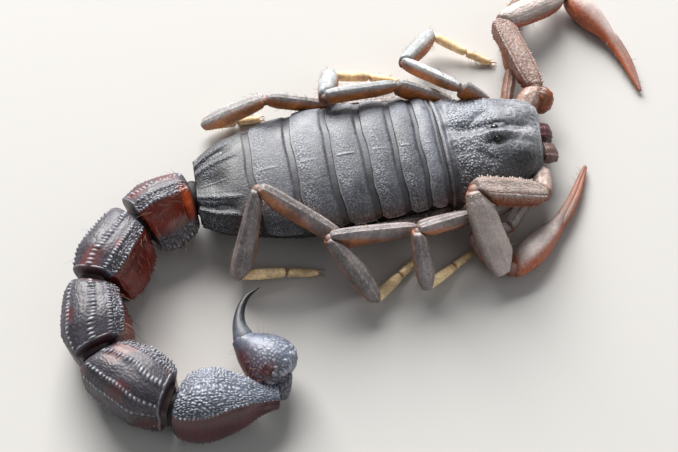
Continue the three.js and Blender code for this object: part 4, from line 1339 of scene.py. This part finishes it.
class SCORPION_OT_legs(bpy.types.Operator):
    """Builds the eight walking legs"""

    bl_idname = "scorpion.legs"
    bl_label = "Legs"

    def execute(self, context):
        for side in SIDES:
            for pair in PAIRS:
                self.leg(side, pair)
        return report_built(self, "Legs")

    def leg(self, side, pair):
        """Femur, patella, tibia and foot of one leg, with soft joints between them."""
        name = f"leg_{side}_{pair}"
        joints = joints_of([f"{name}_{part}" for part in ("femur", "patella", "tibia", "foot")])
        if name == "leg_right_1":
            joints[2], joints[3] = joints[2] + TUCKED_KNEE, joints[3] + TUCKED_ANKLE
        steps = [unit(b - a) for a, b in zip(joints, joints[1:])]
        hip = mirrored(side, HIPS[pair])
        size = LEG_GIRTH[pair]
        slim = LEG_SLIMNESS.get(name, 1.0)
        warmth = RIGHT_LEG_WARMTH[pair] if side == "right" else NONE_OF_THREE
        pallor = LEFT_LEG_SHEEN[pair] if side == "left" else NONE_OF_THREE
        parts = (
            ("femur", (0.95 * slim, 1.3), FEMUR_ROWS),
            ("patella", (0.95 * slim, 1.4 * slim), PATELLA_ROWS),
            ("tibia", (1.2, 1.42 * (slim if pair == 4 else 1)),
             LOW_TIBIA_ROWS if name == "leg_right_4" else TIBIA_ROWS),
        )
        for k, (part, girth, rows) in enumerate(parts):
            length = float(np.linalg.norm(joints[k + 1] - joints[k]))
            middle = (joints[k] + joints[k + 1]) / 2
            toward = np.array([0.0, -np.sign(middle[1]), 0.0])
            medial = float(unit(np.cross(UP, steps[k])) @ toward)
            shape = limb_piece(
                [joints[k], joints[k + 1]], UP, (girth[0] * size, girth[1] * size), rows,
                leg_relief(length, medial, pair * 10 + k, warm=warmth[k], pallor=pallor[k]),
                before=steps[k - 1] if k else unit(joints[0] - hip), after=steps[k + 1],
                steps=(int(length / 0.115), 92), caps=(0.05, 0.05), squareness=0.85,
            )
            if name == "leg_left_1":
                shape.values["knee"] = np.maximum(shape.values["knee"], 0.85)
                shape.values["grain"] = 0.3 * shape.values["grain"]
            put(f"{name}_{part}", shape, materials()["Leg shell"], [f"{name}_{part}"])
        skins = [knuckle(joints[k] - 0.2 * UP, 0.7 * size * max(slim, 0.85)) for k in range(3)]
        skins.append(knuckle(joints[3], 0.5 * size))
        put(f"{name}_joints", join(skins), materials()["Leg shell"])
        self.foot(name, joints[3], joints[4], steps[2], size)

    def foot(self, name, start, tip, before, size):
        """Basitarsus and tarsus, two spurs between them and two hooked claws at the tip."""
        bend = bend_of(f"{name}_foot", start, tip)
        heading = unit(tip - bend)
        end = bend + (tip - bend) * 0.9
        wide, deep = 0.58 * size, 0.62 * size
        rows = ((0, 0.85), (0.3, 1.08), (0.8, 1.0), (1, 0.9))

        def relief(share, angle):
            """Faint grains and darker ends."""
            small = grains(share * 24, angle / 360 * 18, 18, 3, 0.5)
            knee = 0.7 * ease(0.1, 0.0, share) + 0.6 * ease(0.94, 1.0, share) + 0 * angle
            return 0.012 * small, {"grain": 0.25 * small, "knee": knee}

        base = limb_piece([start, bend], UP, (wide, deep), rows, relief, before=before, steps=(36, 40),
                          caps=(0.1, 0.08), squareness=0.95)
        toe_rows = ((0, 0.85), (0.2, 1), (0.7, 0.9), (1, 0.6))
        toe = limb_piece([bend, end], UP, (wide * 0.85, deep * 0.88), toe_rows, relief,
                         steps=(36, 40), caps=(0.08, 0.12), squareness=0.95)
        side = np.cross(UP, heading)
        hooks = []
        for turn in (-1, 1):
            root = end - 0.15 * heading + side * 0.12 * turn
            bow = [root, root + heading * 0.4 + side * 0.2 * turn + UP * 0.12,
                   root + heading * 0.8 + side * 0.26 * turn - UP * 0.02]
            hooks.append(limb_piece(bow, UP, (0.1, 0.12), ((0, 1), (0.5, 0.8), (1, 0.2)), None,
                                    steps=(14, 10), caps=(0.1, 0.05), squareness=1.0))
            hooks[-1].values["dark"] = hooks[-1].values["along"]
            spur = bend - side * 0.35 * turn * size - UP * 0.2 * size
            spur_tip = spur + heading * 0.55 - UP * 0.12 - side * 0.15 * turn
            hooks.append(limb_piece([spur, spur_tip], UP, (0.09, 0.09), ((0, 1), (1, 0.25)), None,
                                    steps=(10, 8), caps=(0.1, 0.1), squareness=1.0))
        SKINS[f"{name}_foot"] = toe.grid
        put(f"{name}_foot", join([base, toe, *hooks]), materials()["Foot shell"], [f"{name}_foot"])


class SCORPION_OT_pedipalps(bpy.types.Operator):
    """Builds the two pedipalps with their closed pincers"""

    bl_idname = "scorpion.pedipalps"
    bl_label = "Pedipalps"

    def execute(self, context):
        for side in SIDES:
            self.pedipalp(side)
        return report_built(self, "Pedipalps")

    def pedipalp(self, side):
        """Femur, patella, hand and finger of one side, with soft joints."""
        name = f"pedipalp_{side}"
        joints = joints_of([f"{name}_{part}" for part in ("femur", "patella", "hand")])
        finger_ends = ends_of(f"{name}_finger")
        tip = max(finger_ends, key=lambda end: np.linalg.norm(end - joints[2]))
        joints[3] = (joints[3] + tip) / 2
        steps = [unit(b - a) for a, b in zip(joints, joints[1:])]
        root = mirrored(side, CLAW_ROOT)
        left = side == "left"
        waterline = 0.4 if left else -0.1
        parts = (
            ("femur", (1.35, 1.4), FEMUR_ROWS),
            ("patella", (1.42 if left else 1.66, 1.5), CLAW_PATELLA_ROWS),
        )
        for k, (part, girth, rows) in enumerate(parts):
            length = float(np.linalg.norm(joints[k + 1] - joints[k]))
            bow = BOWED_ARM * (part == "patella" and not left)
            middle = (joints[k] + joints[k + 1]) / 2 + 0.75 * bow
            brown = 0.35 * (part == "femur" and left)
            shape = limb_piece(
                [joints[k], middle, joints[k + 1] + 0.9 * bow], UP, girth, rows,
                self.arm_relief(part, length, brown, waterline),
                before=steps[k - 1] if k else unit(joints[0] - root), after=steps[k + 1],
                steps=(int(length / 0.076), 176), caps=(0.05, 0.04), squareness=0.72 if k == 0 else 0.82,
            )
            put(f"{name}_{part}", shape, materials()["Claw shell"], [f"{name}_{part}"])
        self.chela(name, side, joints[2], joints[3], steps)
        skins = [knuckle(joints[0], 0.95), knuckle(joints[1] - 0.3 * UP, 0.85), knuckle(joints[2], 0.85)]
        put(f"{name}_joints", join(skins), materials()["Claw shell"])

    def arm_relief(self, part, length, brown, waterline):
        """Toothed keels at the four corners of the femur, finer ones on the patella, grains between.

        brown darkens the whole piece, and the patella is orange below the
        waterline, the sine of an angle.
        """
        femur = part == "femur"
        height = 0.3 if femur else 0.12
        keels = [(38, 5, height, 0.3, 0, 0.85), (142, 5, height, 0.3, 0, 0.85), (-40, 5, height, 0.3, 0, 0.6),
                 (220, 5, height, 0.3, 0, 0.6)]
        if not femur:
            keels += [(90, 4, 0.07, 0.3, 0, 0.6), (0, 4, 0.08, 0.3, 0, 0.6), (180, 4, 0.08, 0.3, 0, 0.6)]

        def relief(share, angle):
            """The lift and the masks at shares of the length and angles round it."""
            lift, tips = ridges(share, angle, length, keels)
            rise = np.sin(np.radians(angle))
            small = grains(share * length / 0.24, angle / 360 * 42, 42, 21, 0.8)
            lift = lift + 0.05 * small + 0.12 * (cloud(share * 7, angle / 36, 10, 22) - 0.5)
            hollow = femur * 0.22 * bump(turned(angle, 90), 26)
            lift = lift - hollow * ease(0, 0.15, share) * ease(1, 0.85, share)
            under = ease(-0.3, -0.75, rise) if femur else ease(waterline, waterline - 0.5, rise)
            front = 0.8 * femur * ease(36, 22, np.abs(turned(angle, -6)))
            under = np.maximum(under, front)
            knee = 0.8 * (ease(0.08, 0.0, share) + ease(0.93, 1.0, share)) * ease(0.6, -0.2, rise)
            beside = bump(turned(angle, 90) - 40, 4) + bump(turned(angle, 90) + 40, 4)
            pale = (0.1 if femur else 0.7) * ease(-0.2, 0.7, rise) * ease(0.0, 0.14, share)
            return lift, {
                "grain": np.clip(np.maximum(1.3 * tips, 0.6 * small) * ease(-0.4, 0.3, rise), 0, 1),
                "dark": np.maximum(0.6 * femur * beside, front) + brown + 0 * share,
                "under": under + 0 * share,
                "knee": knee,
                "pale": pale,
            }

        return relief

    def chela(self, name, side, wrist, tip, steps):
        """The hand with its fixed finger, and the loose finger outside it, both along one bow."""
        outward = unit(np.array([steps[2][1], -steps[2][0], 0.0]))
        if side == "left":
            outward = -outward
        share = np.linspace(0, 1, 60)[:, None]
        whole = wrist + (tip - wrist) * share + outward * 1.4 * np.sin(np.pi * share)
        apart = ease(0.38, 0.6, share) * ease(1.1, 0.8, share) * 0.17
        hand_line = whole - outward * apart
        finger_line = (whole + outward * (0.33 * ease(1.15, 0.7, share)))[share[:, 0] >= 0.4]
        left = side == "left"
        shadow = 0.42 if left else 0.12

        def skin(line, seed, first=0.0):
            """The relief of hand or finger. first is the share of the hand's length where it starts."""
            axis = unit(line[-1] - line[0])
            aside = np.cross(UP, axis)

            def relief(share, angle):
                """Faint grains; orange on the shaded side as painted shade and pale on the lit side as a
                painted highlight; on the right one darker towards the tip.
                """
                share = first + (1 - first) * share
                small = grains(share * 70, angle / 360 * 40, 40, seed, 0.7) * ease(0.55, 0.2, share)
                # Painted light: lit mixes facing up with facing the lamp's side; the lit palm is paled and
                # the side turned away is orange.
                out_y = aside[1] * np.cos(np.radians(angle))
                lit = 0.55 * np.sin(np.radians(angle)) + 0.8 * out_y
                under = ease(0.3 + shadow, -0.35 + shadow, lit)
                under = np.maximum(under, 0.4 * ease(0.5, 0.8, share))
                palm = ease(0.0, 0.15, share) * ease(0.6, 0.35, share)
                brown = ease(0.35, 0.5, share) + ease(0.6, 1.0, share)
                return 0.02 * small, {
                    "grain": 0.3 * small,
                    "under": under,
                    "pale": (1 - under) * (palm + 0.5 * left * ease(0.8, 1.0, share)),
                    "knee": ease(0.05, 0.0, share) + 0 * angle,
                    "gloss": -0.5 * ease(0.3, 0.6, share) + 0 * small,
                    "dark": (0.0 if left else 0.25) * brown + 0 * angle,
                }

            return relief

        hand = limb_piece(hand_line, UP, (1.7, 1.6), HAND_ROWS, skin(hand_line, 41), before=steps[1],
                          steps=(160, 90), caps=(0.03, 0.02), squareness=0.95)
        finger = limb_piece(finger_line, UP, (0.56, 0.62), FINGER_ROWS, skin(finger_line, 42, 0.4),
                            steps=(120, 56), caps=(0.12, 0.03), squareness=0.95)
        put(f"{name}_hand", hand, materials()["Claw shell"], [f"{name}_hand"])
        put(f"{name}_finger", finger, materials()["Claw shell"], [f"{name}_finger"])


class SCORPION_OT_mouth(bpy.types.Operator):
    """Builds the two chelicerae with their fingers"""

    bl_idname = "scorpion.mouth"
    bl_label = "Chelicerae"

    def execute(self, context):
        for side in SIDES:
            node = f"chelicera_{side}"
            root, tip = sorted(ends_of(node), key=lambda end: end[0])
            turn = np.sign(root[1])
            pallor = 0.0 if side == "left" else 0.5

            def relief(share, angle):
                """Three ridges along the top, lumps, fine grains and a dark band before the fingers."""
                edges = bump(turned(angle, 52), 9) + bump(turned(angle, 128), 9)
                edges = edges + 0.6 * bump(turned(angle, 90), 7)
                lumps = grains(share * 4.2, angle / 360 * 13, 13, 52 + int(turn), 0.6)
                small = grains(share * 12, angle / 360 * 26, 26, 51, 0.8)
                band = bump(share - 0.8, 0.05)
                return 0.09 * edges + 0.05 * lumps + 0.04 * small * (0.4 + edges) - 0.12 * band, {
                    "grain": 0.5 * small * (0.3 + 0.7 * edges),
                    "pale": pallor * (0.5 + 0.5 * lumps) + 0.4 * ease(0.8, 1.0, share),
                    "dark": 0.8 * band + 0 * angle,
                }

            palm = limb_piece([root - 0.3 * UP, (root + tip) / 2, tip - 0.2 * UP], UP, (1.12, 0.95),
                              ((0, 0.95), (0.4, 1), (0.75, 0.92), (1, 0.66)), relief, steps=(70, 100),
                              caps=(0.1, 0.16), squareness=0.68)
            fingers = []
            for spread in (-1, 1):
                start = tip - np.array([0.5, spread * 0.35, 0.3])
                end = tip + np.array([0.15, -turn * 0.15 - spread * 0.12, -0.95])
                bend = (start + end) / 2 + np.array([0.3, -spread * 0.2, 0.1])
                finger = limb_piece([start, bend, end], UP, (0.3, 0.34), ((0, 1), (0.5, 0.9), (1, 0.25)),
                                    steps=(24, 20), caps=(0.1, 0.05), squareness=1.0)
                finger.values["dark"] = ease(0.4, 0.9, finger.values["along"])
                finger.values["pale"] = 1 - finger.values["along"]
                fingers.append(finger)
            put(node, join([palm, *fingers]), materials()["Jaw shell"], [node])
        return report_built(self, "Chelicerae")


class SCORPION_OT_breast(bpy.types.Operator):
    """Builds the coxae round a plain rounded breast, the trochanters and the combs"""

    bl_idname = "scorpion.breast"
    bl_label = "Breast"

    def execute(self, context):
        legs, arms = [], []
        for side in SIDES:
            for pair in PAIRS:
                name = f"leg_{side}_{pair}"
                joints = joints_of([f"{name}_femur", f"{name}_patella"])
                legs.append(self.root_piece(side, HIPS[pair], joints, LEG_GIRTH[pair], (1.0, 1.1), pair))
            joints = joints_of([f"pedipalp_{side}_femur", f"pedipalp_{side}_patella"])
            left = side == "left"
            trochanter = self.root_piece(side, CLAW_ROOT, joints, 1.0 if left else 0.85, (1.5, 1.5), 9)
            radii = np.array([2.0, 1.8, 1.6]) * (1.0 if left else 0.7)
            middle = joints[0] + mirrored(side, (-0.1, -1.1, -0.7))
            bulge = ball(middle, radii, (44, 56), {})
            out = (bulge.points - middle) / radii
            rows, turns = 5 + 5 * out[:, 2], np.degrees(np.arctan2(out[:, 1], out[:, 0])) / 30
            lumps = grains(rows, turns, 12, 61, 0.8)
            swell = 0.16 * lumps + 0.3 * (cloud(rows / 2, turns / 2, 6, 62) - 0.5)
            bulge.points = bulge.points + out * swell[:, None]
            crown = ease(0.55, 1.15, out[:, 2] + 0.6 * out[:, 1])
            bulge.values = {
                "knee": 1 - crown, "pale": 0.6 * crown, "grain": 0.6 * lumps * crown, "dark": 1 - crown,
            }
            arms += [trochanter, bulge]
            for part in [] if left else [trochanter, bulge]:
                for mask in ("under", "knee"):
                    part.values[mask] = 0.35 * part.values.get(mask, 0 * part.values["knee"])
                part.values["pale"] = 0.1 + 0 * part.values["knee"]
            trochanter.values["dark"] = (0.8 if left else 0.45) + 0 * trochanter.values["knee"]
        core = ball((6.0, 0, 2.6), (6.2, 5.4, 1.7), (40, 60), {"under": 0.6})
        put("coxae", join([core, *legs]), materials()["Leg shell"], ["breast"])
        put("pedipalp_trochanters", join(arms), materials()["Claw shell"])
        self.combs()
        return report_built(self, "Breast")

    def root_piece(self, side, place, joints, size, girth, seed):
        """A coxa and trochanter in one: a short thick piece from the breast to the femur."""
        hip = mirrored(side, place)
        if place is CLAW_ROOT:
            root = np.array([hip[0] - 2, hip[1] * 0.6, hip[2] - 0.6])
        else:
            root = np.array([hip[0] * 0.8 + 1, hip[1] * 0.35, hip[2]])
        length = float(np.linalg.norm(joints[0] - root))
        toward = np.array([0.0, -np.sign(hip[1]), 0.0])
        medial = float(unit(np.cross(UP, unit(joints[0] - hip))) @ toward)
        return limb_piece(
            [root, hip, joints[0]], UP, (girth[0] * size, girth[1] * size), TROCHANTER_ROWS,
            leg_relief(length, medial, seed, keel=0.05), after=unit(joints[1] - joints[0]),
            steps=(44, 56), caps=(0.05, 0.05), squareness=0.9,
        )

    def combs(self):
        """The two pectines: a jointed spine with a row of rounded teeth along its rear edge."""
        parts = []
        for turn in (-1, 1):
            root, tip = np.array([1.0, 0.8 * turn, 0.62]), np.array([-1.6, 5.2 * turn, 0.55])
            parts.append(limb_piece([root, (root + tip) / 2 + (0.25, 0, 0), tip], UP, (0.55, 0.3),
                                    ((0, 0.9), (0.5, 1), (1, 0.5)), None, steps=(40, 24), caps=(0.08, 0.1)))
            step = (tip - root) / 24
            for k in range(1, 24):
                start = root + step * k
                end = start + np.array([-1.15 * math.sin(math.pi * (0.25 + k / 40)), 0.1 * turn, -0.1])
                parts.append(limb_piece([start, end], UP, (0.085, 0.13), ((0, 0.8), (0.7, 1), (1, 0.8)), None,
                                        steps=(10, 8), caps=(0.1, 0.25), squareness=1.0))
        for part in parts:
            part.values["under"] = 0.25 + 0.5 * part.values["along"]
        put("pectines", join(parts), materials()["Foot shell"])


class SCORPION_OT_bristles(bpy.types.Operator):
    """Builds the bristles of tail, telson and limbs"""

    bl_idname = "scorpion.bristles"
    bl_label = "Bristles"

    def execute(self, context):
        fine = context.scene.scorpion_bristles

        def uppermost(share, angle):
            """Mostly on the upper face."""
            return 0.08 + 0.9 * ease(75, 45, np.abs(turned(angle, 90)))

        def thinly(share, angle):
            """The same everywhere, six in ten."""
            return 0.6 + 0 * share

        def evenly(share, angle):
            """The same everywhere."""
            return 1 + 0 * share

        tail = [(f"metasoma_{k}", count, 0.9, 2.3, uppermost) for k, count in ((1, 70), (2, 60), (3, 30))]
        tail += [(f"metasoma_{k}", 50, 0.6, 1.4, thinly) for k in (4, 5)]
        tail += [("vesicle", 46, 0.6, 1.3, evenly)]
        limbs = []
        for side in SIDES:
            for pair in PAIRS:
                name = f"leg_{side}_{pair}"
                limbs += [(f"{name}_{part}", count, 0.35, 0.9, evenly)
                          for part, count in (("femur", 30), ("patella", 40), ("tibia", 60), ("foot", 36))]
            name = f"pedipalp_{side}"
            limbs += [(f"{name}_{part}", count, 0.4, 1.1, evenly)
                      for part, count in (("femur", 34), ("patella", 44), ("hand", 44), ("finger", 20))]
        for label, sowing, slot in (("tail_bristles", tail, "tail_shell"), ("limb_bristles", limbs, "leg")):
            put(label, bristles(sowing, fine.amount, fine.width / 2), materials()["Bristle"])
        return report_built(self, "Bristles")


class SCORPION_OT_stage(bpy.types.Operator):
    """Sets the pale floor, the soft lamps and the camera"""

    bl_idname = "scorpion.stage"
    bl_label = "Stage"

    def execute(self, context):
        scene, stage = context.scene, context.scene.scorpion_stage
        target = (ORIGIN + VIEW_CENTRE) * MM
        turn, lift = stage.azimuth, stage.elevation
        back = np.array([math.sin(turn) * math.cos(lift), -math.cos(turn) * math.cos(lift), math.sin(lift)])
        camera = bpy.data.objects.new("camera", bpy.data.cameras.new("camera"))
        camera.data.lens, camera.data.sensor_width = stage.lens, 36
        camera.data.clip_start, camera.data.clip_end = 0.005, 5
        camera.location = Vector(target + back * stage.distance)
        camera.rotation_mode = "QUATERNION"
        camera.rotation_quaternion = Vector(-back).to_track_quat("-Z", "Y")
        scene.collection.objects.link(camera)
        scene.camera = camera

        mesh = bpy.data.meshes.new("floor")
        corners = [(x * FLOOR_HALF, y * FLOOR_HALF, 0) for x, y in ((-1, -1), (1, -1), (1, 1), (-1, 1))]
        mesh.from_pydata(corners, [], [(0, 1, 2, 3)])
        floor = bpy.data.objects.new("floor", mesh)
        scene.collection.objects.link(floor)
        material = bpy.data.materials.new("Floor")
        material.use_nodes = True
        shader = material.node_tree.nodes["Principled BSDF"]
        shader.inputs["Base Color"].default_value = (0.49, 0.48, 0.465, 1)
        shader.inputs["Roughness"].default_value = 0.9
        shader.inputs["Specular IOR Level"].default_value = 0.1
        mesh.materials.append(material)

        world = bpy.data.worlds.new("world")
        world.use_nodes = True
        world.node_tree.nodes["Background"].inputs["Color"].default_value = (0.93, 0.96, 1.0, 1)
        world.node_tree.nodes["Background"].inputs["Strength"].default_value = 0.26
        scene.world = world
        for name, place, size, power in (
            ("key", (-0.05, 0.68, 0.47), 0.6, 21.0),
            ("fill", (0.25, -0.25, 0.3), 0.35, 0.3),
        ):
            lamp = bpy.data.objects.new(name, bpy.data.lights.new(name, "AREA"))
            lamp.data.size, lamp.data.energy = size, power * stage.lamp
            lamp.data.color = (1.0, 0.99, 0.97)
            lamp.location = place
            lamp.rotation_mode = "QUATERNION"
            lamp.rotation_quaternion = (-Vector(place)).to_track_quat("-Z", "Y")
            scene.collection.objects.link(lamp)
        scene.view_settings.view_transform = "Standard"
        return report_built(self, "Stage")


class SCORPION_PT_panel(bpy.types.Panel):
    """The scorpion's panel in the 3D view's sidebar"""

    bl_idname = "SCORPION_PT_panel"
    bl_label = "Scorpion"
    bl_space_type = "VIEW_3D"
    bl_region_type = "UI"
    bl_category = "Scorpion"

    def draw(self, context):
        scene = context.scene
        for group in (scene.scorpion_colours, scene.scorpion_bristles, scene.scorpion_stage):
            box = self.layout.box()
            for name in group.__annotations__:
                box.prop(group, name)
        for operator in OPERATORS:
            self.layout.operator(operator.bl_idname)


OPERATORS = (
    SCORPION_OT_stage, SCORPION_OT_trunk, SCORPION_OT_head, SCORPION_OT_mouth, SCORPION_OT_breast,
    SCORPION_OT_legs, SCORPION_OT_pedipalps, SCORPION_OT_tail, SCORPION_OT_bristles,
)
CLASSES = (ScorpionColours, ScorpionBristles, ScorpionStage, *OPERATORS, SCORPION_PT_panel)


def register():
    """Registers the classes and hangs the settings on the scene."""
    for entry in CLASSES:
        bpy.utils.register_class(entry)
    bpy.types.Scene.scorpion_colours = bpy.props.PointerProperty(type=ScorpionColours)
    bpy.types.Scene.scorpion_bristles = bpy.props.PointerProperty(type=ScorpionBristles)
    bpy.types.Scene.scorpion_stage = bpy.props.PointerProperty(type=ScorpionStage)


def unregister():
    """Takes the settings and the classes away again."""
    del bpy.types.Scene.scorpion_stage
    del bpy.types.Scene.scorpion_bristles
    del bpy.types.Scene.scorpion_colours
    for entry in reversed(CLASSES):
        bpy.utils.unregister_class(entry)


def main():
    """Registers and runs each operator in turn."""
    register()
    for operator in OPERATORS:
        group, name = operator.bl_idname.split(".")
        getattr(getattr(bpy.ops, group), name)()


if __name__ == "__main__":
    main()
